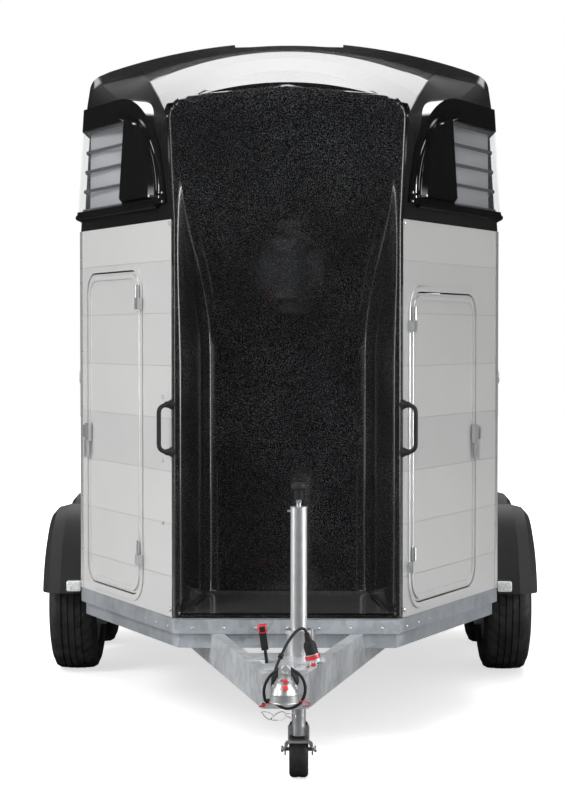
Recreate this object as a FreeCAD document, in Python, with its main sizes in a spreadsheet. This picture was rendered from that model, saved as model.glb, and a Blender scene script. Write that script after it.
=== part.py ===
"""Two-horse trailer with an aluminium plank body, a moulded black nose and roof hood, tandem torsion axles,
a galvanised V drawbar with overrun coupling, two front side doors, a rear ramp and a rear top hatch.

Frame: +X to the right when facing the nose, +Y towards the rear, +Z up.
The origin is on the ground, midway along the trailer's length. All sizes are in millimetres.
"""

import FreeCAD, Part
import math
import os

import Sketcher

V = FreeCAD.Vector
doc = FreeCAD.newDocument("horse_trailer")
sheet = doc.addObject("Spreadsheet::Sheet", "Sizes")


class Size:
    """A length or angle that knows its number and the spreadsheet formula it comes from."""

    def __init__(self, value, text=None):
        self.value = float(value)
        self.text = text or repr(float(value))

    def __float__(self):
        return self.value

    def __add__(self, other):
        other = as_size(other)
        return Size(self.value + other.value, f"({self.text} + {other.text})")

    def __radd__(self, other):
        return as_size(other) + self

    def __sub__(self, other):
        other = as_size(other)
        return Size(self.value - other.value, f"({self.text} - {other.text})")

    def __rsub__(self, other):
        return as_size(other) - self

    def __mul__(self, other):
        other = as_size(other)
        return Size(self.value * other.value, f"({self.text} * {other.text})")

    def __rmul__(self, other):
        return as_size(other) * self

    def __truediv__(self, other):
        other = as_size(other)
        return Size(self.value / other.value, f"({self.text} / {other.text})")

    def __neg__(self):
        return Size(-self.value, f"(-1 * {self.text})")


def as_size(number):
    return number if isinstance(number, Size) else Size(number)


def root(size):
    return Size(math.sqrt(size.value), f"sqrt({size.text})")


def angle_of(opposite, adjacent):
    """The angle in degrees whose tangent is opposite over adjacent."""
    degrees = math.degrees(math.atan2(float(opposite), float(adjacent)))
    return Size(degrees, f"atan2({opposite.text}; {adjacent.text})")


# Driving dimensions: name, value, what it is.
TABLE = [
    ("total_length", 4700, "coupling nose to ramp hinge"),
    ("nose_setback", 1200, "coupling nose to the front beam"),
    ("corner_setback", 2130, "coupling nose to the corner of angled and side wall"),
    ("axle_share", 0.38, "front axle's place along the side wall, as a share of its length"),
    ("axle_spacing", 800, "front axle to rear axle"),
    ("ramp_stack", 70, "rear portal face to the ramp hinge's rear"),
    ("body_half", 885, "half the body width"),
    ("nose_half", 426, "half the width of the moulded nose"),
    ("rail_top", 505, "top of the perimeter rail"),
    ("rail_height", 60, "height of the perimeter rail"),
    ("rail_flange", 50, "inward flange that carries the deck"),
    ("sheet_metal", 5, "thickness of folded steel sections"),
    ("lower_height", 55, "height of the lower frame"),
    ("lower_inset", 20, "lower frame set back from the rail"),
    ("lower_width", 60, "width of the lower frame members"),
    ("deck_thick", 26, "plywood deck"),
    ("wall_top", 2015, "top of the plank walls"),
    ("wall_thick", 30, "plank wall thickness"),
    ("plank_pitch", 200, "height of one plank"),
    ("plank_groove", 1.6, "depth and half width of the joint between planks"),
    ("fit_gap", 0.3, "seat clearance between separate pieces"),
    ("move_gap", 6, "gap round moving panels"),
    ("beam_height", 120, "drawbar beam height"),
    ("beam_flange", 45, "drawbar beam flange width"),
    ("beam_nose_half", 78, "half the width over the beams at their front"),
    ("beam_front_setback", 350, "coupling nose to the front of the beams"),
    ("beam_reach", 2450, "length of the beams along the trailer"),
    ("beam_spread", 598, "sideways spread of each beam over that length"),
    ("wheel_radius", 320, "tyre radius"),
    ("tyre_width", 220, "tyre section width"),
    ("tyre_shoulder", 32, "tyre's shoulder inside its tread and its side"),
    ("tyre_bulge", 52, "widest part of the tyre above the rim seat"),
    ("rim_radius", 195, "rim seat radius"),
    ("wheel_gap", 11, "tyre clear of the body side"),
    ("axle_drop", 335, "height of the torsion tube"),
    ("axle_lead", 130, "torsion tube ahead of the hub"),
    ("axle_across", 80, "torsion tube across flats"),
    ("drum_radius", 112, "brake drum radius"),
    ("fender_radius", 458, "mudguard radius about the axle"),
    ("fender_margin", 14, "mudguard's edge beyond the tyre"),
    ("fender_thick", 6, "mudguard thickness"),
    ("niche_depth", 280, "depth of the recess at the foot of the nose"),
    ("niche_half", 316, "half width of the recess at its foot"),
    ("shell_thick", 30, "moulded shell thickness"),
    ("brow_edge", 2460, "height of the brow at the nose corners"),
    ("brow_rise", 57, "rise of the brow arch at the middle"),
    ("door_bottom", 545, "lower edge of the side doors"),
    ("door_corner", 85, "corner radius of the side doors"),
    ("left_door_start", 342, "left door edge from the nose corner"),
    ("left_door_width", 602, "left door width"),
    ("left_door_top", 1835, "top of the left door"),
    ("right_door_start", 99, "right door edge from the nose corner"),
    ("right_door_width", 677, "right door width"),
    ("right_door_top", 1745, "top of the right door"),
    ("window_bottom", 2097, "lower edge of the windows"),
    ("window_top", 2437, "upper edge of the windows"),
    ("pod_bottom", 2065, "lower edge of the window surrounds"),
    ("pod_top", 2530, "top of the window surrounds"),
    ("ramp_top", 1800, "top of the rear ramp when shut"),
    ("ramp_thick", 42, "ramp and hatch thickness"),
    ("ramp_hinge_height", 478, "height of the ramp hinge"),
    ("hinge_radius", 14, "ramp hinge tube radius"),
    ("jockey_setback", 665, "coupling nose to the jockey tube"),
    ("jockey_side", 45, "jockey tube to the right of the middle"),
    ("jockey_tube_radius", 29, "jockey outer tube radius"),
    ("jockey_tube_top", 975, "top of the jockey outer tube"),
    ("jockey_wheel_radius", 100, "jockey wheel radius"),
    ("jockey_wheel_width", 68, "jockey wheel width"),
    ("jockey_tyre_depth", 28, "depth of the jockey wheel's tyre"),
    ("jockey_flare", 12, "fork plate clear of the jockey wheel"),
    ("jockey_trail", 105, "jockey wheel behind its tube"),
    ("coupling_height", 425, "height of the towing ball's centre"),
    ("ball_radius", 25, "towing ball radius"),
    ("lever_length", 130, "handbrake lever length"),
    ("draw_radius", 30, "draw tube radius"),
    ("bridge_margin", 60, "bridge plate beyond the drawbar's front width"),
    ("bridge_depth", 110, "bridge plate along the drawbar"),
    ("plate_thick", 8, "thick steel plate"),
    ("member_width", 60, "cross member width"),
    ("member_front", 20, "first cross member behind the body corner"),
    ("member_rear", 130, "last cross member's front before the body's rear end"),
    ("axle_end", 65, "torsion tube end inside the body side"),
    ("arm_thick", 38, "trailing arm thickness"),
    ("arm_round", 38, "trailing arm's rounding about the hub"),
    ("spindle_radius", 18, "wheel spindle radius"),
    ("spindle_length", 140, "wheel spindle length"),
    ("drum_gap", 16, "brake drum clear of the trailing arm"),
    ("hub_offset", 8, "wheel disc outboard of the wheel's centre plane"),
    ("rim_half", 76, "half the width between the rim flanges"),
    ("shock_lead", 430, "shock absorber's high eye ahead of the hub"),
    ("shock_ear", 150, "shock absorber's low eye ahead of the hub"),
    ("shock_low", 276, "height of the shock absorber's low eye"),
    ("shock_high", 366, "height of the shock absorber's high eye"),
    ("shock_radius", 16, "shock absorber radius"),
    ("hanger_inset", 20, "axle bracket in from the torsion tube's end"),
    ("hanger_width", 44, "axle bracket width"),
    ("fender_low", 410, "lower edge of the mudguards"),
    ("corner_cover", 30, "corner post's width on each face"),
    ("portal_depth", 50, "rear portal along the trailer"),
    ("nose_thick", 25, "moulded nose's wall"),
    ("nose_return", 22, "nose's inner edge in from its corner, beside the angled walls"),
    ("first_seam", 660, "height of the lowest plank joint"),
    ("trim_width", 22, "door frame's width on the wall"),
    ("trim_thick", 5, "door frame proud of the wall"),
    ("leaf_rim", 16, "raised rim on the door leaf"),
    ("hinge_out", 15, "door hinge axis out from the wall"),
    ("hinge_low", 170, "low hinge above the door's lower edge"),
    ("hinge_high", 112, "high hinge below the door's top"),
    ("hinge_block", 44, "height of the fixed hinge block"),
    ("hinge_barrel", 52, "height of the moving hinge barrel"),
    ("hinge_reach", 30, "fixed hinge block towards the nose"),
    ("hinge_strap", 26, "hinge strap on the leaf"),
    ("hinge_round", 10, "hinge barrel radius"),
    ("hinge_pin", 4, "hinge pin radius"),
    ("latch_height", 1180, "height of the door latches"),
    ("latch_out", 20, "door latch proud of the wall"),
    ("latch_case", 52, "door latch width"),
    ("latch_lever", 110, "door latch lever below the latch"),
    ("brow_spread", 19, "widening of the nose from foot to brow"),
    ("crease_in", 125, "roof's crease in from the body side"),
    ("roof_lean", 40, "roof's inward lean from wall top to shoulder"),
    ("roof_shoulder", 2640, "shoulder height of the roof"),
    ("front_crown", 2780, "crown height at the foot of the roof's step"),
    ("roof_step", 25, "roof's front edge behind the body corner"),
    ("roof_crown", 2818, "crown height of the roof behind its step"),
    ("rear_crown", 2800, "crown height at the rear"),
    ("recess_half", 230, "half width of the shallow recess along the roof"),
    ("recess_depth", 6, "recess below the roof's rear crown"),
    ("mouth_half", 400, "half width of the recess at its mouth"),
    ("niche_straight", 1400, "height up to which the recess keeps its depth"),
    ("niche_top", 2290, "height at which the recess ends"),
    ("column_round", 0.42, "share of the recess's flare taken by the columns' round front"),
    ("column_bend", 28, "reach of the bend between a column's face and its flank"),
    ("niche_corner", 60, "reach of the bend in the recess's back corners"),
    ("mouth_closing", 26, "columns' inward sweep towards the top of the recess"),
    ("back_opening", 50, "widening of the recess's back towards its top"),
    ("ledge_front", 13, "rise of the nose ledge at its front"),
    ("ledge_back", 60, "rise of the nose ledge at its back"),
    ("pod_proud", 14, "window surround proud of the body"),
    ("pod_reach", 0.94, "share of the angled wall that the surround covers"),
    ("pod_fold", 14, "raised panel's edge before the window"),
    ("pod_lean", 30, "window surround's inward lean over its height"),
    ("ridge_proud", 6, "ridges above the surround"),
    ("panel_proud", 18, "raised panel above the surround"),
    ("pod_back", 340, "window surround behind the body corner"),
    ("window_reach", 0.5, "share of the angled wall that the window covers"),
    ("window_back", 280, "window behind the body corner"),
    ("pane_thick", 5, "window pane thickness"),
    ("grille_inset", 8, "window grille in from the body's outer face"),
    ("bar_size", 12, "window grille bar size"),
    ("portal_width", 70, "rear portal's face width"),
    ("panel_margin", 48, "ramp and hatch in from the body's outline"),
    ("hatch_thick", 34, "hatch thickness"),
    ("hatch_hinge_drop", 48, "hatch hinge below the roof's rear crown"),
    ("hatch_hinge_out", 26, "hatch hinge behind the portal"),
    ("partition_start", 70, "partition behind the body corner"),
    ("partition_end", 430, "partition ahead of the rear portal's face"),
    ("partition_bottom", 760, "lower edge of the partition"),
    ("partition_top", 1500, "top of the partition"),
    ("bar_height", 1150, "height of the breast and rump bars"),
    ("head_radius", 46, "coupling head radius"),
    ("neck_length", 140, "coupling ball to the draw tube"),
    ("handle_width", 40, "width of the coupling's handle"),
    ("bellows_length", 62, "length of the bellows"),
    ("bellows_collar", 10, "length of the bellows' collar"),
    ("bellows_outer", 46, "radius of the bellows' collar and folds"),
    ("bellows_valley", 5, "thickness of the bellows between folds"),
    ("bellows_folds", 4, "number of folds in the bellows"),
    ("clamp_height", 92, "jockey clamp height"),
    ("clamp_wall", 12, "jockey clamp's wall round the tube"),
    ("clamp_foot", 56, "half the width of the jockey clamp's foot"),
    ("clamp_lug", 58, "jockey clamp's screw lug from the tube's axis"),
    ("grab_start", 20, "grab handle from the nose corner"),
    ("grab_low", 1125, "lower end of the grab handle"),
    ("grab_length", 200, "grab handle length"),
    ("grab_out", 55, "grab handle out from the wall"),
    ("tie_height", 1420, "height of the tie rings"),
    ("cable_radius", 5, "electric cable radius"),
    ("breakaway_radius", 2, "breakaway cable radius"),
    ("plug_lean", 25, "plug's sideways lean over its drop"),
    ("plug_drop", 95, "plug's drop"),
    ("plug_radius", 22, "plug radius"),
    ("plug_length", 88, "plug length"),
    ("socket_depth", 22, "depth of the plug in its parking socket"),
]

for row, (alias, number, note) in enumerate(TABLE, start=1):
    sheet.set(f"A{row}", alias)
    sheet.set(f"B{row}", str(number))
    sheet.set(f"C{row}", note)
    sheet.setAlias(f"B{row}", alias)
doc.recompute()


class Named:
    """Every alias of the sheet as an attribute, such as d.body_half."""


d = Named()
for alias, number, note in TABLE:
    setattr(d, alias, Size(sheet.get(alias), f"Sizes.{alias}"))

# Places worked out from the driving dimensions.
hatch_hinge_height = d.rear_crown - d.hatch_hinge_drop
half_length = d.total_length / 2
y_tip = -half_length
y_front = y_tip + d.nose_setback
y_corner = y_tip + d.corner_setback
y_rear = half_length - d.ramp_stack
y_front_axle = y_corner + (y_rear - y_corner) * d.axle_share
y_axles = [y_front_axle, y_front_axle + d.axle_spacing]
wheel_centre = d.body_half + d.wheel_gap + d.tyre_width / 2
fender_edge = wheel_centre + d.tyre_width / 2 + d.fender_margin
y_beam = y_tip + d.beam_front_setback
lower_top = d.rail_top - d.rail_height
lower_bottom = lower_top - d.lower_height
beam_bottom = lower_top - d.beam_height
deck_bottom = lower_top + d.sheet_metal
deck_top = deck_bottom + d.deck_thick
angle_run = y_corner - y_front
angle_step = d.body_half - d.nose_half
angle_length = root(angle_run * angle_run + angle_step * angle_step)
angle_turn = angle_of(angle_step, angle_run)
beam_turn = angle_of(d.beam_spread, d.beam_reach)
beam_length = root(d.beam_reach * d.beam_reach + d.beam_spread * d.beam_spread)

right_angle = Size(90, "90 deg")
nodes = {}


def keep(node, thing):
    """Names a finished sub-part."""
    thing.Label = node
    nodes[node] = thing
    return thing


def bind(thing, **properties):
    """Binds properties to sheet formulas; a plain number is just set."""
    for name, size in properties.items():
        if isinstance(size, Size):
            thing.setExpression(name, size.text)
        else:
            setattr(thing, name, size)
    return thing


def place(thing, x=0, y=0, z=0, turn=0, axis=V(0, 0, 1)):
    """Puts a thing at x, y, z, turned by an angle in degrees about an axis through that point."""
    thing.Placement = FreeCAD.Placement(V(float(x), float(y), float(z)), FreeCAD.Rotation(axis, float(turn)))
    for name, size in (("x", x), ("y", y), ("z", z)):
        if isinstance(size, Size):
            thing.setExpression(f"Placement.Base.{name}", size.text)
    if isinstance(turn, Size):
        thing.setExpression("Placement.Rotation.Angle", turn.text)
    return thing


count = [0]


def fresh(kind):
    count[0] += 1
    return f"{kind}{count[0]:03d}"


def box(x0, x1, y0, y1, z0, z1):
    """A block between two corners."""
    x0, x1, y0, y1, z0, z1 = (as_size(s) for s in (x0, x1, y0, y1, z0, z1))
    thing = doc.addObject("Part::Box", fresh("block"))
    bind(thing, Length=x1 - x0, Width=y1 - y0, Height=z1 - z0)
    return place(thing, x0, y0, z0)


ALONG = {"x": (V(0, 1, 0), 90), "y": (V(1, 0, 0), -90), "z": (V(0, 0, 1), 0)}


def rod(radius, length, x, y, z, along="z"):
    """A round bar that starts at a point and runs along +x, +y or +z."""
    thing = doc.addObject("Part::Cylinder", fresh("rod"))
    bind(thing, Radius=as_size(radius), Height=as_size(length))
    axis, turn = ALONG[along]
    return place(thing, x, y, z, turn, axis)


def ring(big, small, x, y, z, along="z"):
    """A torus about an axis through its centre."""
    thing = doc.addObject("Part::Torus", fresh("ring"))
    bind(thing, Radius1=as_size(big), Radius2=as_size(small))
    axis, turn = ALONG[along]
    return place(thing, x, y, z, turn, axis)


def joined(*things):
    thing = doc.addObject("Part::MultiFuse", fresh("joined"))
    thing.Shapes = list(things)
    return thing


def less(base, *tools):
    """The base with the tools cut away."""
    for tool in tools:
        thing = doc.addObject("Part::Cut", fresh("less"))
        thing.Base = base
        thing.Tool = tool
        base = thing
    return base


def common(base, tool):
    thing = doc.addObject("Part::Common", fresh("common"))
    thing.Base = base
    thing.Tool = tool
    return thing


def shaped(shape, kind="shaped"):
    """A feature for a shape that is worked out here from the sheet's values."""
    thing = doc.addObject("Part::Feature", fresh(kind))
    thing.Shape = shape
    return thing


def apart(*things):
    """Several solids that don't touch, kept as one sub-part."""
    thing = doc.addObject("Part::Compound", fresh("set"))
    thing.Links = list(things)
    return thing


def outline(body, plane, points):
    """A closed sketch on one of a body's own planes; each corner is bound to the sheet."""
    sketch = body.newObject("Sketcher::SketchObject", fresh("sketch"))
    support = [f for f in body.Origin.OriginFeatures if f.Role == plane][0]
    sketch.AttachmentSupport = [(support, "")]
    sketch.MapMode = "FlatFace"
    corners = [(as_size(a), as_size(b)) for a, b in points]
    total = len(corners)
    for i, (a, b) in enumerate(corners):
        c, e = corners[(i + 1) % total]
        sketch.addGeometry(Part.LineSegment(V(a.value, b.value, 0), V(c.value, e.value, 0)), False)
    for i in range(total):
        sketch.addConstraint(Sketcher.Constraint("Coincident", i, 2, (i + 1) % total, 1))
    for i, (a, b) in enumerate(corners):
        for kind, size in (("DistanceX", a), ("DistanceY", b)):
            k = sketch.addConstraint(Sketcher.Constraint(kind, i, 1, size.value))
            sketch.setExpression(f"Constraints[{k}]", size.text)
    return sketch


def padded(plane, points, length, midplane=False, reverse=False):
    """A body padded from an outline; from XZ_Plane it grows towards -Y unless reversed."""
    body = doc.addObject("PartDesign::Body", fresh("body"))
    pad = body.newObject("PartDesign::Pad", fresh("pad"))
    pad.Profile = outline(body, plane, points)
    bind(pad, Length=as_size(length))
    pad.Midplane = midplane
    pad.Reversed = reverse
    return body


def turned(points, x=0, y=0, z=0):
    """A body revolved about X; points are (along the axis, radius)."""
    body = doc.addObject("PartDesign::Body", fresh("body"))
    feature = body.newObject("PartDesign::Revolution", fresh("turned"))
    sketch = outline(body, "XZ_Plane", points)
    feature.Profile = sketch
    feature.ReferenceAxis = (sketch, ["H_Axis"])
    feature.Angle = 360
    return place(body, x, y, z)


def mirrored(thing):
    """The same piece on the trailer's other side."""
    copy = doc.addObject("Part::Mirroring", fresh("mirror"))
    copy.Source = thing
    copy.Normal = V(1, 0, 0)
    copy.Base = V(0, 0, 0)
    return copy


def plan_points(inset):
    """The body's plan, moved inwards by an inset, from the nose's right corner round to its left corner."""
    inset = float(inset)
    run, step = float(angle_run), float(angle_step)
    slant = math.hypot(run, step)
    nx, ny = run / slant, -step / slant
    px, py = float(d.nose_half) - inset * nx, float(y_front) - inset * ny
    front = float(y_front) + inset
    side = float(d.body_half) - inset
    a = (px + (front - py) * step / run, front)
    b = (side, py + (side - px) * run / step)
    c = (side, float(y_rear) - inset)
    return [a, b, c, (-c[0], c[1]), (-b[0], b[1]), (-a[0], a[1])]


def plan_prism(inset, low, high):
    points = [V(x, y, float(low)) for x, y in plan_points(inset)]
    return Part.Face(Part.makePolygon(points + points[:1])).extrude(V(0, 0, float(high) - float(low)))


def rounded_slab(start, bottom, width, height, radius, near, far):
    """A plate with round corners: its width runs along y, its height along z, its thickness from near to far on x."""
    w, h, r, x = float(width), float(height), float(radius), float(near)
    corners = ((r, r, 180), (w - r, r, 270), (w - r, h - r, 0), (r, h - r, 90))
    edges, first, last = [], None, None
    for cy, cz, turn in corners:
        arc = []
        for step in (0, 45, 90):
            angle = math.radians(turn + step)
            arc.append(V(x, float(start) + cy + r * math.cos(angle), float(bottom) + cz + r * math.sin(angle)))
        if last is not None:
            edges.append(Part.LineSegment(last, arc[0]).toShape())
        first = first or arc[0]
        edges.append(Part.Arc(*arc).toShape())
        last = arc[2]
    edges.append(Part.LineSegment(last, first).toShape())
    return Part.Face(Part.Wire(edges)).extrude(V(float(far) - x, 0, 0))


# Chassis: a folded perimeter rail under the walls, a lower frame, cross members, and the two drawbar beams.
rail_ring = plan_prism(0, lower_top, d.rail_top).cut(plan_prism(d.sheet_metal, lower_top - 1, d.rail_top + 1))
rail_shelf = plan_prism(0, lower_top, deck_bottom).cut(plan_prism(d.rail_flange, lower_top - 1, deck_bottom + 1))
keep("perimeter_rail", shaped(rail_ring.fuse(rail_shelf).removeSplitter(), "rail"))
deck_inset = d.sheet_metal + d.fit_gap
keep("floor_deck", shaped(plan_prism(deck_inset, deck_bottom, deck_top), "deck"))


# The drawbar: two channels with their webs outside, a head plate, and a bridge plate for the jockey tube.
steel = d.sheet_metal
channel = [
    (0, 0),
    (0, d.beam_height),
    (-d.beam_flange, d.beam_height),
    (-d.beam_flange, d.beam_height - steel),
    (-steel, d.beam_height - steel),
    (-steel, steel),
    (-d.beam_flange, steel),
    (-d.beam_flange, 0),
]
beam_right = padded("XZ_Plane", channel, beam_length, reverse=True)
place(beam_right, d.beam_nose_half, y_beam, beam_bottom, -beam_turn)
weld = 1
head_plate = box(
    -d.beam_nose_half, d.beam_nose_half, y_beam - d.sheet_metal, y_beam + weld, beam_bottom, lower_top
)
draw_hole = rod(d.draw_radius + d.fit_gap, 60, 0, y_beam - 30, d.coupling_height, "y")
y_jockey = y_tip + d.jockey_setback
bridge_half = d.beam_nose_half + d.bridge_margin
bridge_plate = box(
    -bridge_half, bridge_half, y_jockey - d.bridge_depth / 2, y_jockey + d.bridge_depth / 2,
    lower_top, lower_top + d.plate_thick,
)
tube_hole = rod(d.jockey_tube_radius + d.fit_gap, 200, d.jockey_side, y_jockey, lower_top - 100)
drawbar = joined(beam_right, mirrored(beam_right), head_plate, bridge_plate)
keep("drawbar", less(drawbar, draw_hole, tube_hole))

# Beam envelopes, to keep the members that cross the beams clear of them.
cover = padded(
    "XZ_Plane",
    [
        (d.fit_gap, -1),
        (d.fit_gap, d.beam_height),
        (-d.beam_flange - d.fit_gap, d.beam_height),
        (-d.beam_flange - d.fit_gap, -1),
    ],
    beam_length + 1,
    reverse=True,
)
place(cover, d.beam_nose_half, y_beam, beam_bottom, -beam_turn)
beam_covers = joined(cover, mirrored(cover))

# The lower frame: a folded section under the perimeter rail, stopped on each side of the drawbar beams.
web_inset = float(d.lower_inset)
lower_web = plan_prism(web_inset, lower_bottom, lower_top)
lower_web = lower_web.cut(plan_prism(web_inset + float(steel), lower_bottom - 1, lower_top + 1))
lower_flange = plan_prism(web_inset, lower_bottom, lower_bottom + steel)
lower_flange = lower_flange.cut(plan_prism(web_inset + float(d.lower_width), lower_bottom - 1, lower_top))
lower_ring = shaped(lower_web.fuse(lower_flange).removeSplitter(), "lower")
keep("lower_frame", less(lower_ring, beam_covers))

# Cross members: channels that lie on the lower frame's flange and carry the deck.
member_half = d.body_half - d.lower_inset - d.sheet_metal - d.fit_gap
member_low = lower_bottom + steel
member_height = deck_bottom - member_low
member_top_half = d.body_half - d.rail_flange - d.fit_gap
members = []
# The outer cross members keep their distance from the body's ends, and the inner two lie at shares of its length.
body_length = y_rear - y_corner
member_places = (d.member_front, body_length * 0.156, body_length * 0.54, body_length - d.member_rear)
for member_place in member_places:
    member = padded(
        "YZ_Plane",
        [
            (0, 0),
            (0, member_height),
            (d.member_width, member_height),
            (d.member_width, member_height - steel),
            (steel, member_height - steel),
            (steel, steel),
            (d.member_width, steel),
            (d.member_width, 0),
        ],
        member_top_half * 2,
        midplane=True,
    )
    members.append(place(member, 0, y_corner + member_place, member_low))
keep("cross_members", less(joined(*members), beam_covers))

# Running gear: six-sided torsion tubes with trailing arms, shock absorbers, and four braked wheels.
side_point = d.axle_across / 2 / math.cos(math.radians(30))
half_flat = d.axle_across / 2 * math.tan(math.radians(30))
flat_high = d.axle_across / 2
hexagon = [
    (-half_flat, flat_high),
    (half_flat, flat_high),
    (side_point, 0),
    (half_flat, -flat_high),
    (-half_flat, -flat_high),
    (-side_point, 0),
]
tube_half = d.body_half - d.axle_end
arm_inner = tube_half
arm_outer = arm_inner + d.arm_thick
axle_parts = []
for y_axle in y_axles:
    y_tube = y_axle - d.axle_lead
    tube = padded("YZ_Plane", hexagon, tube_half * 2, midplane=True)
    place(tube, 0, y_tube, d.axle_drop)
    arm = padded(
        "YZ_Plane",
        [
            (-d.axle_lead - d.arm_round, d.arm_round),
            (-d.axle_lead, d.arm_round + 10),
            (d.arm_round * 0.7, d.arm_round * 0.8),
            (d.arm_round, 0),
            (d.arm_round * 0.7, -d.arm_round * 0.8),
            (-d.axle_lead, -d.arm_round),
            (-d.axle_lead - d.arm_round, -d.arm_round * 0.5),
        ],
        d.arm_thick,
    )
    place(arm, arm_inner - weld, y_axle, d.wheel_radius)
    spindle = rod(d.spindle_radius, d.spindle_length + 2, arm_outer - 2, y_axle, d.wheel_radius, "x")
    ear = rod(14, d.arm_thick + 1, arm_inner, y_axle - d.shock_ear, d.shock_low, "x")
    hanger = box(
        tube_half - d.hanger_inset - d.hanger_width, tube_half - d.hanger_inset,
        y_tube - half_flat, y_tube + half_flat,
        d.axle_drop + flat_high, lower_bottom,
    )
    side_gear = [arm, spindle, ear, hanger]
    axle_parts.append(joined(tube, *side_gear, *[mirrored(thing) for thing in side_gear]))

# Shock absorbers, from a bracket under the lower frame back and down to a lug on each trailing arm.
shock_run = d.shock_lead - d.shock_ear
shock_rise = d.shock_high - d.shock_low
shock_turn = angle_of(shock_run, shock_rise)
shock_length = root(shock_run * shock_run + shock_rise * shock_rise)
clear_of_eye = d.shock_radius / shock_length
x_shock = arm_outer + d.shock_radius + 1 + d.fit_gap
shocks, brackets = [], []
for y_axle in y_axles:
    y_high = y_axle - d.shock_lead
    stem = doc.addObject("Part::Cylinder", fresh("stem"))
    bind(stem, Radius=d.shock_radius * 0.4, Height=shock_length)
    place(stem, x_shock, y_axle - d.shock_ear, d.shock_low, shock_turn, V(1, 0, 0))
    body = doc.addObject("Part::Cylinder", fresh("shock"))
    bind(body, Radius=d.shock_radius, Height=shock_length * 0.55)
    place(
        body, x_shock, y_axle - d.shock_ear - shock_run * clear_of_eye, d.shock_low + shock_rise * clear_of_eye,
        shock_turn, V(1, 0, 0),
    )
    eyes = [
        rod(d.shock_radius * 0.8, d.shock_radius * 2, x_shock - d.shock_radius, y_eye, z_eye, "x")
        for y_eye, z_eye in ((y_axle - d.shock_ear, d.shock_low), (y_high, d.shock_high))
    ]
    shock = joined(body, stem, *eyes)
    shocks += [shock, mirrored(shock)]
    plate_x = x_shock - d.shock_radius - d.fit_gap
    bracket = box(plate_x - steel, plate_x, y_high - 26, y_high + 26, d.shock_high - 22, lower_bottom)
    brackets += [bracket, mirrored(bracket)]
keep("shock_absorbers", apart(*shocks))
keep("axles", apart(*axle_parts, *brackets))

# Wheels: profiles of (along the axle, radius), turned about the axle; the tyres are turned in flat steps.
def stepped(profile, steps):
    """A solid ring about X with flat faces: a profile of (along the axis, radius), carried round in equal steps."""
    faces = []
    for k in range(steps):
        corners = []
        for turn in (2 * math.pi * k / steps, 2 * math.pi * (k + 1) / steps):
            corners.append([
                V(float(along), float(radius) * math.sin(turn), -float(radius) * math.cos(turn))
                for along, radius in profile
            ])
        for i in range(len(profile)):
            j = (i + 1) % len(profile)
            edge = [corners[0][i], corners[0][j], corners[1][j], corners[1][i]]
            faces.append(Part.Face(Part.makePolygon(edge + edge[:1])))
    return Part.makeSolid(Part.makeShell(faces))


def seat_radius(radius, steps):
    """The corner radius of a stepped bore whose flats clear a round seat by the seat clearance."""
    return (radius + d.fit_gap) / math.cos(math.pi / steps)


tyre_steps = 64
tyre_half = d.tyre_width / 2
bead_half = d.rim_half - d.fit_gap
tyre_seat = seat_radius(d.rim_radius, tyre_steps)
tyre_profile = [
    (-bead_half, tyre_seat),
    (-tyre_half, d.rim_radius + d.tyre_bulge),
    (-tyre_half + d.tyre_shoulder * 0.25, d.wheel_radius - d.tyre_shoulder),
    (-tyre_half + d.tyre_shoulder, d.wheel_radius),
    (tyre_half - d.tyre_shoulder, d.wheel_radius),
    (tyre_half - d.tyre_shoulder * 0.25, d.wheel_radius - d.tyre_shoulder),
    (tyre_half, d.rim_radius + d.tyre_bulge),
    (bead_half, tyre_seat),
]
drum_inner = arm_outer + d.drum_gap - wheel_centre
bore = d.spindle_radius + d.fit_gap
hub_end = d.hub_offset + 44
rim_profile = [
    (-d.rim_half - 12, d.rim_radius + 5),
    (-d.rim_half - 6, d.rim_radius + 5),
    (-d.rim_half - 6, d.rim_radius),
    (d.rim_half + 6, d.rim_radius),
    (d.rim_half + 6, d.rim_radius + 5),
    (d.rim_half + 12, d.rim_radius + 5),
    (d.rim_half + 12, d.rim_radius - 5),
    (d.hub_offset + 22, d.rim_radius - 6),
    (d.hub_offset + 14, d.rim_radius - 42),
    (d.hub_offset + 6, d.drum_radius - 34),
    (d.hub_offset + 6, 42),
    (hub_end, 34),
    (hub_end, 0),
    (d.spindle_length + arm_outer - wheel_centre + 1, 0),
    (d.spindle_length + arm_outer - wheel_centre + 1, bore),
    (drum_inner, bore),
    (drum_inner, d.drum_radius),
    (d.hub_offset - 4, d.drum_radius),
    (d.hub_offset - 4, d.drum_radius - 20),
    (d.hub_offset + 8, d.rim_radius - 40),
    (d.hub_offset + 16, d.rim_radius - 12),
    (d.hub_offset + 16, d.rim_radius - 6),
    (-d.rim_half - 12, d.rim_radius - 5),
]
for side, sign in (("left", -1), ("right", 1)):
    for where, y_axle in zip(("front", "rear"), y_axles):
        wheel_x = wheel_centre * sign
        tyre = shaped(stepped(tyre_profile, tyre_steps), "tyre")
        keep(f"tyre_{where}_{side}", place(tyre, wheel_x, y_axle, d.wheel_radius))
        wheel = turned([(along * sign, radius) for along, radius in rim_profile])
        vents = []
        for k in range(10):
            turn = math.radians(36 * k)
            vent = rod(12, 90, 0, (d.rim_radius - 42) * math.cos(turn), (d.rim_radius - 42) * math.sin(turn), "x")
            vents.append(vent)
        pierced = less(wheel, joined(*vents)) if sign > 0 else less(wheel, mirrored(joined(*vents)))
        keep(f"rim_{where}_{side}", place(pierced, wheel_x, y_axle, d.wheel_radius))

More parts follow.
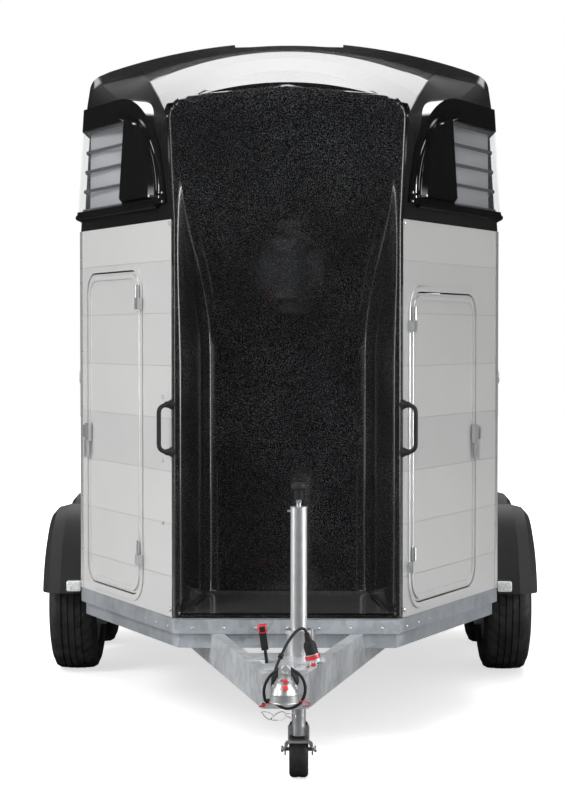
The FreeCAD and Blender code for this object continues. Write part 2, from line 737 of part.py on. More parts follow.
# Mudguards: a turned hood over each wheel, the pair cut off midway between the axles and joined there.
guard_profile = [
    (d.body_half, d.fender_radius),
    (fender_edge - 90, d.fender_radius),
    (fender_edge - 36, d.fender_radius - 14),
    (fender_edge - 10, d.fender_radius - 44),
    (fender_edge, d.fender_radius - 96),
    (fender_edge - d.fender_thick, d.fender_radius - 96),
    (fender_edge - d.fender_thick - 9, d.fender_radius - 47),
    (fender_edge - d.fender_thick - 34, d.fender_radius - 19),
    (fender_edge - 90, d.fender_radius - d.fender_thick),
    (d.body_half, d.fender_radius - d.fender_thick),
]
y_middle = (y_axles[0] + y_axles[1]) / 2
guard_span = d.fender_radius + 20
guards = []
for y_axle, y_from, y_to in (
    (y_axles[0], y_axles[0] - guard_span, y_middle),
    (y_axles[1], y_middle, y_axles[1] + guard_span),
):
    hood = place(turned(guard_profile), 0, y_axle, d.wheel_radius)
    window = box(d.body_half - 1, fender_edge + 1, y_from, y_to, d.fender_low, d.wheel_radius + guard_span)
    guards.append(common(hood, window))
guard = joined(*guards)
keep("mudguards", apart(guard, mirrored(guard)))

# Plank walls: one profile with a joint line every plank, outer face at x = 0, grown along the wall.
wall_height = d.wall_top - d.rail_top
groove = d.plank_groove


def plank_profile():
    points = [(0, 0)]
    seam = d.first_seam - d.rail_top
    while float(seam) < float(wall_height) - float(d.plank_pitch) / 2:
        points += [(0, seam - groove), (-groove, seam), (0, seam + groove)]
        seam = seam + d.plank_pitch
    return points + [(0, wall_height), (-d.wall_thick, wall_height), (-d.wall_thick, 0)]


side_start = y_corner + d.corner_cover
side_end = y_rear - d.portal_depth
side_wall = padded("XZ_Plane", plank_profile(), side_end - side_start, reverse=True)
place(side_wall, d.body_half, side_start, d.rail_top)
keep("side_walls", apart(side_wall, mirrored(side_wall)))


def at_angle(thing, z=0):
    """Puts a thing in the right angled wall's frame: origin at the body corner, x outward, -y to the nose."""
    return place(apart(thing), d.body_half, y_corner, z, -angle_turn)


def from_nose(along):
    """The place along the angled wall's y axis of a distance from the nose corner."""
    return along - angle_length


def angle_slab(start, width, bottom, top, radius, near, far):
    """A round-cornered plate in the angled wall's frame, between two distances from its outer face."""
    return at_angle(shaped(rounded_slab(from_nose(start), bottom, width, top - bottom, radius, near, far), "slab"))


doors = {
    "left": (d.left_door_start, d.left_door_width, d.left_door_top),
    "right": (d.right_door_start, d.right_door_width, d.right_door_top),
}
gap = d.move_gap
nose_back = box(-d.body_half, d.body_half, y_front - 50, y_front + d.nose_thick + d.fit_gap, 0, 3000)
corner_room = at_angle(box(-100, 100, -d.corner_cover, 100, 0, 3000))
walls, frames, hinges = [], [], []
for side, (start, width, top) in doors.items():
    shape_wall = at_angle(padded("XZ_Plane", plank_profile(), angle_length), d.rail_top)
    opening = angle_slab(start, width, d.door_bottom, top, d.door_corner, -60, 30)
    wall = less(shape_wall, opening, nose_back, corner_room)
    blank = angle_slab(
        start + gap, width - gap * 2, d.door_bottom + gap, top - gap, d.door_corner - gap, -60, 30
    )
    leaf = common(shape_wall, blank)
    rim = angle_slab(
        start - d.trim_width, width + d.trim_width * 2, d.door_bottom - d.trim_width, top + d.trim_width,
        d.door_corner + d.trim_width, 0, d.trim_thick,
    )
    frame = less(rim, opening)
    leaf_rim = angle_slab(
        start + d.leaf_rim, width - d.leaf_rim * 2, d.door_bottom + d.leaf_rim, top - d.leaf_rim,
        d.door_corner - gap, -1, d.trim_thick,
    )
    leaf_field = angle_slab(
        start + d.leaf_rim * 2, width - d.leaf_rim * 4, d.door_bottom + d.leaf_rim * 2, top - d.leaf_rim * 2,
        d.door_corner - d.leaf_rim, -2, d.trim_thick + 1,
    )
    leaf = joined(leaf, less(leaf_rim, leaf_field))

    # Two lift-off hinges on the nose side: a fixed block with the pin, and a barrel with a strap on the leaf.
    axis_x = d.hinge_out
    axis_y = from_nose(start) + gap / 2
    moving = []
    for z_hinge in (d.door_bottom + d.hinge_low, top - d.hinge_high):
        block_low = z_hinge - d.hinge_block
        hinges.append((side, joined(
            rod(d.hinge_round, d.hinge_block - d.fit_gap, axis_x, axis_y, block_low),
            box(d.trim_thick, axis_x + d.hinge_round, axis_y - d.hinge_reach, axis_y, block_low, z_hinge - d.fit_gap),
            rod(d.hinge_pin, d.hinge_block * 1.6, axis_x, axis_y, block_low + 6),
        )))
        strap = joined(
            rod(d.hinge_round, d.hinge_barrel, axis_x, axis_y, z_hinge),
            box(d.trim_thick, axis_x, axis_y + 2, axis_y + d.hinge_strap, z_hinge, z_hinge + d.hinge_barrel),
        )
        bore_pin = rod(d.hinge_pin + d.fit_gap, d.hinge_barrel - 4, axis_x, axis_y, z_hinge - 1)
        moving.append(at_angle(less(strap, bore_pin)))

    # The latch: a case on the leaf's outer edge with a lever hanging from it.
    edge = from_nose(start + width)
    latch = joined(
        box(d.trim_thick, d.latch_out, edge - d.latch_case, edge - gap - 2, d.latch_height - 45, d.latch_height + 30),
        box(d.latch_out - 8, d.latch_out + 6, edge - d.latch_case + 8, edge - gap - 10,
            d.latch_height - d.latch_lever, d.latch_height - 40),
    )
    moving.append(at_angle(latch))
    keeper = box(d.trim_thick, d.latch_out, edge + gap, edge + gap + 18, d.latch_height - 30, d.latch_height + 20)
    hinges.append((side, keeper))
    if side == "left":
        leaf, wall, frame = mirrored(leaf), mirrored(wall), mirrored(frame)
        moving = [mirrored(thing) for thing in moving]
    keep(f"door_{side}", leaf)
    keep(f"door_{side}_fittings", apart(*moving))
    walls.append(wall)
    frames.append(frame)
fixed = []
for side in doors:
    group = at_angle(joined(*[thing for owner, thing in hinges if owner == side]))
    fixed.append(mirrored(group) if side == "left" else group)
keep("angle_walls", apart(*walls))
keep("door_frames", apart(*frames))
keep("door_hinges", apart(*fixed))

# Corner posts: an angled cover that wraps each body corner, a little proud of the planks.
corner_ring = plan_prism(-2, d.rail_top, d.wall_top).cut(plan_prism(d.wall_thick, d.rail_top - 1, d.wall_top + 1))
corner_zone = joined(
    box(d.body_half - 60, d.body_half + 20, y_corner, side_start, d.rail_top - 1, d.wall_top + 1),
    at_angle(box(-60, 20, -d.corner_cover, 0.5, d.rail_top - 1, d.wall_top + 1)),
)
post = common(shaped(corner_ring, "corner"), corner_zone)
keep("corner_posts", apart(post, mirrored(post)))


brow_flare = d.brow_spread / (d.brow_edge - d.wall_top)
slant = float(angle_step) / float(angle_run)


def nose_half_at(z):
    """The nose's half width: straight beside the plank walls, spreading above them."""
    return d.nose_half + brow_flare * (z - d.wall_top) if float(z) > float(d.wall_top) else d.nose_half


def wall_half_at(y):
    """The body's half width beside the angled wall at a place along the trailer."""
    return d.nose_half + (y - y_front) * (angle_step / angle_run)


# The hood's sections. Each row: place along the trailer, half width at the foot, then half width and height of
# the side's upper end, of the shoulder and of the crease where the side meets the roof, and the crown's height.
brow = d.brow_edge + d.brow_rise
low_brow = d.brow_edge - 190
roof_edge = [d.body_half - d.roof_lean, d.roof_shoulder - 34]
roof_bend = [d.body_half - d.roof_lean - 13, d.roof_shoulder + 12]
roof_knee = [d.body_half - d.roof_lean - 45, d.roof_shoulder + 37]
roof_crease = [d.body_half - d.crease_in, d.roof_shoulder + 54]


def hood_row(share, crown, *corners):
    """A section between nose and roof; each corner is (in from the foot, above the brow's low point)."""
    y = y_front + (y_corner - y_front) * share
    foot = wall_half_at(y)
    row = [y, foot]
    for inward, above in corners:
        row += [foot - inward, low_brow + above]
    return (*row, crown)


# Corners: the side's upper end, the shoulder's bend, its upper end, and the crease.
HOOD = [
    (y_front, d.nose_half, nose_half_at(d.brow_edge - 50), d.brow_edge - 50, d.nose_half + 14, d.brow_edge - 20,
     d.nose_half - 2, d.brow_edge - 4, d.nose_half - 26, d.brow_edge + 4, brow),
    hood_row(0.16, d.front_crown - 190, (14, 60), (20, 115), (30, 138), (37, 151)),
    hood_row(0.43, d.front_crown - 108, (23, 60), (37, 130), (61, 185), (106, 252)),
    hood_row(0.7, d.front_crown - 46, (19, 130), (37, 200), (75, 250), (180, 340)),
    hood_row(0.97, d.front_crown, (20, 250), (38, 320), (84, 362), (256, 404)),
    (y_corner + d.roof_step, d.body_half, *roof_edge, *roof_bend, *roof_knee, *roof_crease, d.roof_crown),
    (y_rear, d.body_half, *roof_edge, *roof_bend, *roof_knee, *roof_crease, d.rear_crown),
]


def hood_section(row, inset, low, y=None):
    """A cross-section of the hood: upright sides, rounded shoulders and an arched roof, moved inwards by an inset."""
    place_y = float(row[0] if y is None else y)
    inset, low = float(inset), float(low)
    foot, crown = float(row[1]) - inset, float(row[-1]) - inset
    shares = ((1, 0.3), (0.8, 0.7), (0.5, 0.95), (0.4, 1))
    corners = [
        (float(x) - inset * across, float(z) - inset * down)
        for x, z, (across, down) in zip(row[2:-1:2], row[3:-1:2], shares)
    ]
    side, shoulder, knee, crease = ([V(x * sign, place_y, z) for sign in (1, -1)] for x, z in corners)
    start = [V(foot * sign, place_y, low) for sign in (1, -1)]
    return Part.Wire([
        Part.LineSegment(start[0], side[0]).toShape(),
        Part.Arc(side[0], shoulder[0], knee[0]).toShape(),
        Part.LineSegment(knee[0], crease[0]).toShape(),
        Part.Arc(crease[0], V(0, place_y, crown), crease[1]).toShape(),
        Part.LineSegment(crease[1], knee[1]).toShape(),
        Part.Arc(knee[1], shoulder[1], side[1]).toShape(),
        Part.LineSegment(side[1], start[1]).toShape(),
        Part.LineSegment(start[1], start[0]).toShape(),
    ])


def hood_solid(inset, low):
    """The hood as one solid, moved inwards by an inset, down to a height."""
    sections = [hood_section(row, inset, low) for row in HOOD]
    parts = [Part.makeLoft(list(pair), True, True) for pair in zip(sections, sections[1:])]
    return parts[0].fuse(parts[1:])


hood_outer = hood_solid(0, d.wall_top)
hood_inner = hood_solid(d.shell_thick, d.wall_top - 1)
front_cut = Part.makeBox(3000, 500, 3000, V(-1500, float(y_front + d.nose_thick + d.fit_gap) - 500, 0))
rear_cut = Part.makeBox(3000, 500, 3000, V(-1500, float(side_end), 0))
roof_panel = Part.makeBox(
    float(d.recess_half) * 2, float(side_end - y_corner), 100,
    V(-float(d.recess_half), float(y_corner + d.roof_step) - 25, float(d.rear_crown - d.recess_depth)),
)
hood_walls = hood_outer.cut([hood_inner, front_cut, rear_cut])

# The nose: an upright shell with a deep recess that fades out towards the brow, and a sloped ledge at its foot.
def eased(share, start, end):
    """0 below start, 1 above end, smooth between."""
    t = min(max((share - start) / (end - start), 0), 1)
    return t * t * (3 - 2 * t)


def rounded_corners(points, reaches, steps=4):
    """A line whose inner corners are replaced by curves that start and end a reach away from them."""
    line = [points[0]]
    for before, (x, y), after, reach in zip(points, points[1:], points[2:], reaches):
        ends = []
        for other in (before, after):
            length = math.hypot(other[0] - x, other[1] - y)
            part = min(reach / length, 0.45) if length > 1e-6 else 0
            ends.append((x + (other[0] - x) * part, y + (other[1] - y) * part))
        for k in range(steps):
            t = k / (steps - 1)
            line.append(tuple(
                (1 - t) ** 2 * start + 2 * t * (1 - t) * middle + t ** 2 * end
                for start, middle, end in zip(ends[0], (x, y), ends[1])
            ))
    return line + [points[-1]]


def nose_section(z):
    """A plan section of the nose shell: its outer line with the recess between round columns, then its inner line."""
    share = float((z - d.niche_straight) / (d.niche_top - d.niche_straight))
    half, front, thick = float(nose_half_at(z)), float(y_front), float(d.nose_thick)
    depth = float(d.niche_depth) * (1 - eased(share, 0.15, 0.93))
    mouth = float(d.mouth_half) - float(d.mouth_closing) * eased(share, 0.0, 0.6)
    back = float(d.niche_half) + float(d.back_opening) * eased(share, 0.2, 0.8)
    bulge = mouth - (mouth - back) * float(d.column_round)
    deep = depth * 0.3
    corners = [(half, front), (mouth, front), (bulge, front + deep), (back, front + depth), (0, front + depth)]
    right = rounded_corners(corners, (float(d.column_bend), float(d.column_bend) * 2, float(d.niche_corner)))[:-1]
    inner = [
        (min(mouth + thick, float(d.nose_half - d.nose_return)), front + thick),
        (bulge + thick * 0.75, front + deep + thick),
        (back + thick * 0.6, front + depth + thick),
    ]
    right = [(half + thick * slant, front + thick)] + right
    left = [(-x, y) for x, y in reversed(right)]
    back_line = [(-x, y) for x, y in inner] + list(reversed(inner))
    return [V(x, y, float(z)) for x, y in right + left + back_line]


def skinned(sections):
    """A solid with flat faces through sections that have the same number of corners."""
    faces = [Part.Face(Part.makePolygon(ring + ring[:1])) for ring in (sections[0], sections[-1])]
    for low, high in zip(sections, sections[1:]):
        total = len(low)
        for i in range(total):
            a, b, c, e = low[i], low[(i + 1) % total], high[(i + 1) % total], high[i]
            faces.append(Part.Face(Part.makePolygon([a, b, c, a])))
            faces.append(Part.Face(Part.makePolygon([a, c, e, a])))
    return Part.makeSolid(Part.makeShell(faces))


fade_rows = 14
nose_heights = [d.rail_top]
nose_heights += [d.niche_straight + (d.niche_top - d.niche_straight) * k / fade_rows for k in range(fade_rows + 1)]
nose = skinned([nose_section(z) for z in (*nose_heights, brow + 2)])
above = Part.makeBox(3000, 1000, 1000, V(-1500, float(y_front) - 200, float(d.wall_top)))
nose = nose.cut(above.cut(hood_outer))
ledge_points = [
    V(float(x), float(y), float(d.rail_top))
    for x, y in (
        (d.mouth_half + 8, y_front), (d.niche_half + 8, y_front + d.niche_depth + 8),
        (-d.niche_half - 8, y_front + d.niche_depth + 8), (-d.mouth_half - 8, y_front),
    )
]
ledge = Part.Face(Part.makePolygon(ledge_points + ledge_points[:1])).extrude(V(0, 0, float(d.ledge_back)))
ledge_slope = Part.Face(Part.makePolygon([
    V(-1000, float(y_front) - 1, float(d.rail_top + d.ledge_front)),
    V(-1000, float(y_front + d.niche_depth) + 20, float(d.rail_top + d.ledge_back)),
    V(-1000, float(y_front + d.niche_depth) + 20, 3000),
    V(-1000, float(y_front) - 1, 3000),
    V(-1000, float(y_front) - 1, float(d.rail_top + d.ledge_front)),
])).extrude(V(2000, 0, 0))
nose = nose.fuse(ledge.cut(ledge_slope)).removeSplitter()
keep("nose_shell", shaped(nose, "nose"))


corner_lap = 6


def side_zone(back, low, high):
    """A block round the right body corner along the side wall, for cutting what wraps the corner."""
    return Part.makeBox(
        400, float(back) + corner_lap, float(high) - float(low),
        V(float(d.body_half) - 300, float(y_corner) - corner_lap, float(low)),
    )


def turned_to_angle(shape):
    """Moves a shape from the right angled wall's frame to the trailer's."""
    moved = shape.copy()
    moved.Placement = FreeCAD.Placement(
        V(float(d.body_half), float(y_corner), 0), FreeCAD.Rotation(V(0, 0, 1), -float(angle_turn))
    ).multiply(shape.Placement)
    return moved


def both_sides(shape):
    return [shape, shape.mirror(V(0, 0, 0), V(1, 0, 0))]


def leaning_slab(inset, low, high):
    """The body's plan carried up between two heights, leaning inwards as the hood's sides do."""
    sections = []
    for z in (float(low), float(high)):
        lean = float(d.pod_lean) * (z - float(d.pod_bottom)) / float(d.pod_top - d.pod_bottom)
        sections.append([V(x, y, z) for x, y in plan_points(float(inset) + lean)])
    return skinned(sections)


def leaned(shape):
    """Tilts a shape in the angled wall's frame inwards about the surround's foot."""
    tilt = math.degrees(math.atan2(float(d.pod_lean), float(d.pod_top - d.pod_bottom)))
    moved = shape.copy()
    moved.rotate(V(0, 0, float(d.pod_bottom)), V(0, 1, 0), -tilt)
    return moved


# Window surrounds: proud mouldings that wrap the body corners, cut out for bent panes.
def surround_face():
    """The outline of a surround on the angled wall: level foot, an arc from the nose side up to a flat top."""
    reach, low, high = float(angle_length * d.pod_reach), float(d.pod_bottom), float(d.pod_top)
    flat = reach * 0.42
    bend = (reach * 0.84, low + (high - low) * 0.64)
    x = -200
    edges = [
        Part.LineSegment(V(x, corner_lap, low), V(x, -reach, low + 14)).toShape(),
        Part.Arc(V(x, -reach, low + 14), V(x, -bend[0], bend[1]), V(x, -flat, high)).toShape(),
        Part.LineSegment(V(x, -flat, high), V(x, corner_lap, high)).toShape(),
        Part.LineSegment(V(x, corner_lap, high), V(x, corner_lap, low)).toShape(),
    ]
    return turned_to_angle(Part.Face(Part.Wire(edges)).extrude(V(300, 0, 0)))


def surround_side():
    """The outline of a surround on the side wall, with a round upper rear corner."""
    back, low, high, r = float(d.pod_back), float(d.pod_bottom), float(d.pod_top), 120.0
    x, y0 = float(d.body_half) - 300, float(y_corner)
    edges = [
        Part.LineSegment(V(x, y0 - corner_lap, low), V(x, y0 + back, low)).toShape(),
        Part.LineSegment(V(x, y0 + back, low), V(x, y0 + back, high - r)).toShape(),
        Part.Arc(
            V(x, y0 + back, high - r), V(x, y0 + back - 0.29 * r, high - 0.29 * r), V(x, y0 + back - r, high)
        ).toShape(),
        Part.LineSegment(V(x, y0 + back - r, high), V(x, y0 - corner_lap, high)).toShape(),
        Part.LineSegment(V(x, y0 - corner_lap, high), V(x, y0 - corner_lap, low)).toShape(),
    ]
    return Part.Face(Part.Wire(edges)).extrude(V(400, 0, 0))


def pod_arc(share, out):
    """An arc across a surround, in the angled wall's frame: share 0 is near its outline, 1 the raised panel's edge."""
    reach, low, high = float(angle_length * d.pod_reach), float(d.pod_bottom), float(d.pod_top)
    wide = reach * (0.66 - 0.17 * share)
    tall = (high - low) * (0.88 - 0.11 * share)
    start = reach * (0.985 - 0.12 * share)
    bottom = low + (high - low) * (0.04 + 0.03 * share)
    points = []
    for turn in (0.05, 0.75, 1.42):
        points.append(V(out, -start + wide * (1 - math.cos(turn)), bottom + tall * math.sin(turn)))
    return points


def pod_ridge(first, last):
    """A raised band between two arcs of a surround."""
    low = float(d.pod_proud) - 1
    a, b = pod_arc(first, low), pod_arc(last, low)
    band = Part.Face(Part.Wire([
        Part.Arc(*a).toShape(),
        Part.LineSegment(a[-1], b[-1]).toShape(),
        Part.Arc(*reversed(b)).toShape(),
        Part.LineSegment(b[0], a[0]).toShape(),
    ]))
    return turned_to_angle(leaned(band.extrude(V(1 + float(d.ridge_proud), 0, 0))))


def pod_panel():
    """The raised panel between the innermost arc and the window, with a sloped edge along the arc."""
    fold = -float(angle_length * d.window_reach) - float(d.pod_fold)
    wires = []
    for share, out in ((0.86, float(d.pod_proud) - 1), (1.0, float(d.pod_proud + d.panel_proud))):
        a = pod_arc(share, out)
        foot, top = a[0], V(out, fold, a[-1].z - 12)
        bend = V(out, foot.y + (fold - foot.y) * 0.33, foot.z + (top.z - foot.z) * 0.68)
        wires.append(Part.Wire([
            Part.Arc(foot, bend, top).toShape(),
            Part.LineSegment(top, V(out, fold, foot.z)).toShape(),
            Part.LineSegment(V(out, fold, foot.z), foot).toShape(),
        ]))
    return turned_to_angle(leaned(Part.makeLoft(wires, True, True)))


def window_zone(grow):
    """The window opening round the right corner, grown all round."""
    grow = float(grow)
    low, high = float(d.window_bottom) - grow, float(d.window_top) + grow
    reach = float(angle_length * d.window_reach) + grow
    flat = turned_to_angle(Part.makeBox(400, reach + corner_lap, high - low, V(-200, -reach, low)))
    return flat.fuse(side_zone(float(d.window_back) + grow, low, high)).removeSplitter()


surround = leaning_slab(-d.pod_proud, d.pod_bottom, d.pod_top)
surround = surround.common(surround_face().fuse(surround_side()))
surround = surround.fuse([pod_ridge(0.28, 0.42), pod_ridge(0.52, 0.66), pod_panel()])
surround = surround.cut([hood_outer, window_zone(0)]).removeSplitter()
keep("window_surrounds", shaped(Part.makeCompound(both_sides(surround)), "surrounds"))
opening = window_zone(0)
hood_walls = hood_walls.cut(both_sides(opening) + [roof_panel])
keep("hood_shell", shaped(hood_walls, "hood"))
pane_zone = window_zone(-d.fit_gap)
pane_front = -float(d.pod_proud) + 3
pane = leaning_slab(pane_front, d.window_bottom, d.window_top)
pane = pane.cut(leaning_slab(pane_front + float(d.pane_thick), d.window_bottom - 1, d.window_top + 1))
pane = pane.common(pane_zone)
keep("window_panes", shaped(Part.makeCompound(both_sides(pane)), "panes"))

# Window grilles: a frame and level bars behind each pane.
grille = leaning_slab(d.grille_inset, d.window_bottom, d.window_top)
grille = grille.cut(leaning_slab(d.grille_inset + d.bar_size, d.window_bottom - 1, d.window_top + 1))
grille = grille.common(pane_zone)
row_pitch = (d.window_top - d.window_bottom - d.bar_size) / 4
holes = []
for k in range(4):
    low = d.window_bottom + d.bar_size + row_pitch * k
    zone = window_zone(-d.bar_size)
    row_box = Part.makeBox(3000, 3000, float(row_pitch - d.bar_size), V(0, -1500, float(low)))
    holes.append(zone.common(row_box))
keep("window_grilles", shaped(Part.makeCompound(both_sides(grille.cut(holes))), "grilles"))

# The rear portal: a frame of the body's own outline.
def rear_outline(inset, low):
    """The body's rear silhouette from a height up to the roof, as a solid one portal deep."""
    y = float(side_end)
    arch = Part.Face(hood_section(HOOD[-1], inset, d.wall_top - inset, y))
    arch = arch.extrude(V(0, float(d.portal_depth), 0))
    half = float(d.body_half) - float(inset)
    trunk = Part.makeBox(
        half * 2, float(d.portal_depth), float(d.wall_top) - float(inset) - float(low), V(-half, y, float(low))
    )
    return arch.fuse(trunk).removeSplitter()


portal = rear_outline(0, d.rail_top).cut(rear_outline(float(d.portal_width), d.rail_top - 1))
keep("rear_portal", shaped(portal, "portal"))

# The ramp: a padded panel outside the portal, hinged on a tube below the sill.
y_hinge = half_length - d.hinge_radius
ramp_front = y_rear + gap
ramp_half = d.body_half - d.panel_margin
ramp_bottom = d.ramp_hinge_height + d.hinge_radius + gap
panel = box(-ramp_half, ramp_half, ramp_front, ramp_front + d.ramp_thick, ramp_bottom, d.ramp_top)
ramp_ribs = []
for k in range(1, 9):
    height = ramp_bottom + (d.ramp_top - ramp_bottom) * (k / 9)
    ramp_ribs.append(box(-ramp_half + 60, ramp_half - 60, ramp_front - 4, ramp_front + 1, height - 12, height + 12))
straps, lugs, pins = [], [], []
for x_hinge in (-700, -250, 250, 700):
    straps.append(rod(d.hinge_radius, 80, x_hinge - 40, y_hinge, d.ramp_hinge_height, "x"))
    straps.append(box(x_hinge - 40, x_hinge + 40, ramp_front + 6, y_hinge, d.ramp_hinge_height, ramp_bottom + 1))
    lugs.append(box(x_hinge - 62, x_hinge - 42, y_rear, y_hinge, d.ramp_hinge_height - 12, d.ramp_hinge_height + 12))
    lugs.append(box(x_hinge + 42, x_hinge + 62, y_rear, y_hinge, d.ramp_hinge_height - 12, d.ramp_hinge_height + 12))
    for low in (-62, 42):
        lugs.append(rod(d.hinge_radius - 1, 20, x_hinge + low, y_hinge, d.ramp_hinge_height, "x"))
    pins.append(rod(7, 126, x_hinge - 63, y_hinge, d.ramp_hinge_height, "x"))
pin_bores = [rod(7 + d.fit_gap, 90, x - 45, y_hinge, d.ramp_hinge_height, "x") for x in (-700, -250, 250, 700)]
keep("ramp_panel", less(joined(panel, *straps, *ramp_ribs), joined(*pin_bores)))
ramp_lugs = joined(*lugs, *pins)

# The top hatch above the ramp, hinged at its top edge.
hatch_front = float(y_rear + gap) + 2
hatch_face = Part.Face(hood_section(HOOD[-1], d.panel_margin, d.wall_top - 300, hatch_front))
hatch_body = hatch_face.extrude(V(0, float(d.hatch_thick), 0))
hatch_top = float(hatch_hinge_height - gap) - 5
hatch_bottom = float(d.ramp_top) + 12
half = float(d.body_half) - float(d.panel_margin)
hatch_trunk = Part.makeBox(half * 2, float(d.hatch_thick), 300, V(-half, hatch_front, float(d.wall_top) - 300))
hatch_body = hatch_body.fuse(hatch_trunk).removeSplitter()
hatch_body = hatch_body.common(
    Part.makeBox(3000, 200, hatch_top - hatch_bottom, V(-1500, hatch_front - 50, hatch_bottom))
)
hatch_panel = shaped(hatch_body, "hatch")
y_hatch = y_rear + d.hatch_hinge_out
hatch_straps, hatch_lugs = [], []
for x_hinge in (-220, 220):
    hatch_straps.append(less(
        joined(
            rod(9, 60, x_hinge - 30, y_hatch, hatch_hinge_height, "x"),
            box(x_hinge - 30, x_hinge + 30, y_hatch, y_hatch + 22, hatch_hinge_height - 60,
                hatch_hinge_height),
        ),
        rod(5 + d.fit_gap, 80, x_hinge - 40, y_hatch, hatch_hinge_height, "x"),
    ))
    for low in (-50, 31):
        hatch_lugs.append(box(x_hinge + low, x_hinge + low + 19, y_rear, y_hatch, hatch_hinge_height - 5,
                              hatch_hinge_height + 8))
        hatch_lugs.append(rod(8, 19, x_hinge + low, y_hatch, hatch_hinge_height, "x"))
    hatch_lugs.append(rod(5, 100, x_hinge - 50, y_hatch, hatch_hinge_height, "x"))
keep("hatch_panel", joined(hatch_panel, *hatch_straps))
keep("rear_hinges", apart(ramp_lugs, joined(*hatch_lugs)))

# Inside: the padded partition between the stalls on its two posts, and the breast and rump bars.
partition_front = y_corner + d.partition_start
partition_back = y_rear - d.partition_end
partition = box(-20, 20, partition_front, partition_back, d.partition_bottom, d.partition_top)
post_front = rod(20, d.partition_top - deck_top + 60, 0, partition_front - 20, deck_top)
post_rear = rod(20, d.partition_top - deck_top + 60, 0, partition_back + 20, deck_top)
keep("partition", joined(partition, post_front, post_rear))
bars = []
for y_bar in (partition_front - 20, partition_back + 20):
    for x_low in (20 + d.fit_gap, -d.body_half + d.wall_thick + d.fit_gap):
        bars.append(rod(26, d.body_half - d.wall_thick - 20 - d.fit_gap * 2, x_low, y_bar, d.bar_height, "x"))
keep("stall_bars", apart(*bars))

# The overrun coupling on the drawbar's head: damper housing, draw tube with its bellows, and ball coupling.
house_half = d.beam_nose_half - d.beam_flange - 2
y_house = y_jockey - d.bridge_depth / 2 - 4
housing = joined(
    box(-house_half, house_half, y_beam + 2, y_house, d.coupling_height - 50, d.coupling_height + 34),
    box(-d.beam_nose_half + 6, d.beam_nose_half - 6, y_beam + 8, y_house, lower_top, lower_top + d.plate_thick),
)
tube_room = rod(d.draw_radius + d.fit_gap, 120, 0, y_beam - 10, d.coupling_height, "y")
keep("overrun_housing", less(housing, tube_room))
y_ball = y_tip + d.head_radius
y_neck = y_ball + d.neck_length
keep("draw_tube", rod(d.draw_radius, y_beam + 90 - y_neck, 0, y_neck, d.coupling_height, "y"))
# The rubber bellows: a collar on the head plate, then folds that get smaller towards the coupling.
bellows_end = d.bellows_length
fold = (bellows_end - d.bellows_collar) / d.bellows_folds
bellows_profile = [(0, d.draw_radius + d.fit_gap), (0, d.bellows_outer), (d.bellows_collar, d.bellows_outer)]
for k in range(int(float(d.bellows_folds))):
    start = d.bellows_collar + fold * k
    peak = d.bellows_outer - 2 * k
    bellows_profile.append((start + fold * 0.15, d.draw_radius + d.bellows_valley))
    bellows_profile.append((start + fold * 0.45, peak))
    bellows_profile.append((start + fold * 0.75, peak))
bellows_profile.append((bellows_end, d.draw_radius + d.bellows_valley))
bellows_profile.append((bellows_end, d.draw_radius + d.fit_gap))
keep("bellows", place(turned(bellows_profile), 0, y_beam - d.sheet_metal, d.coupling_height, -90))

# The ball coupling: a round cup over the ball, a tapered neck on the draw tube, and a hinged handle on its back.
cup_low = d.coupling_height - d.ball_radius + 2
cup_height = d.head_radius + d.coupling_height - cup_low
cup = turned([
    (0, 0),
    (0, d.head_radius),
    (cup_height * 0.42, d.head_radius),
    (cup_height * 0.68, d.head_radius * 0.88),
    (cup_height * 0.88, d.head_radius * 0.62),
    (cup_height, d.head_radius * 0.3),
    (cup_height, 0),
])
place(cup, 0, y_ball, cup_low, -90, V(0, 1, 0))
neck_start = y_ball + d.ball_radius + 9
neck_cone = doc.addObject("Part::Cone", fresh("neck"))
bind(neck_cone, Radius1=d.draw_radius + 1, Radius2=d.draw_radius + 8, Height=y_neck - d.fit_gap - neck_start)
place(neck_cone, 0, neck_start, d.coupling_height, -90, V(1, 0, 0))
handle_low = d.coupling_height + d.head_radius - 10
handle_shape = padded("YZ_Plane", [
    (y_ball + 4, handle_low),
    (y_ball - 8, handle_low + 18),
    (y_ball + 24, handle_low + 26),
    (y_neck + 10, handle_low + 34),
    (y_neck + 20, handle_low + 28),
    (y_neck + 14, handle_low + 22),
    (y_ball + 60, handle_low + 12),
    (y_ball + 56, handle_low - 12),
], d.handle_width, midplane=True)
head = joined(
    cup,
    neck_cone,
    handle_shape,
    rod(8, d.handle_width + 14, -d.handle_width / 2 - 7, y_ball + 46, handle_low + 2, "x"),
    rod(17, d.head_radius, 0, y_ball + 92, d.coupling_height - 4),
)
socket = rod(d.ball_radius + 0.1, d.ball_radius + 6, 0, y_ball, d.coupling_height - d.ball_radius - 6)
dome = doc.addObject("Part::Sphere", fresh("dome"))
bind(dome, Radius=d.ball_radius + 0.1)
place(dome, 0, y_ball, d.coupling_height)
keep("coupling_head", less(head, socket, dome))

# The handbrake lever on the left of the housing, pulled up and leaning outwards.
lever = padded("YZ_Plane", [
    (-20, 0), (20, 0), (16, 40), (13, d.lever_length), (-13, d.lever_length), (-14, 40),
], 10, midplane=True)
grip = padded("YZ_Plane", [
    (-12, 44), (12, 44), (16, 60), (15, d.lever_length - 14), (10, d.lever_length - 6), (-10, d.lever_length - 6),
    (-15, d.lever_length - 14), (-16, 60),
], 24, midplane=True)
handle = joined(lever, grip)
place(handle, -d.beam_nose_half + 14, y_beam + 160, lower_top + d.plate_thick + 1, -8, V(0, 1, 0))
keep("handbrake_lever", handle)

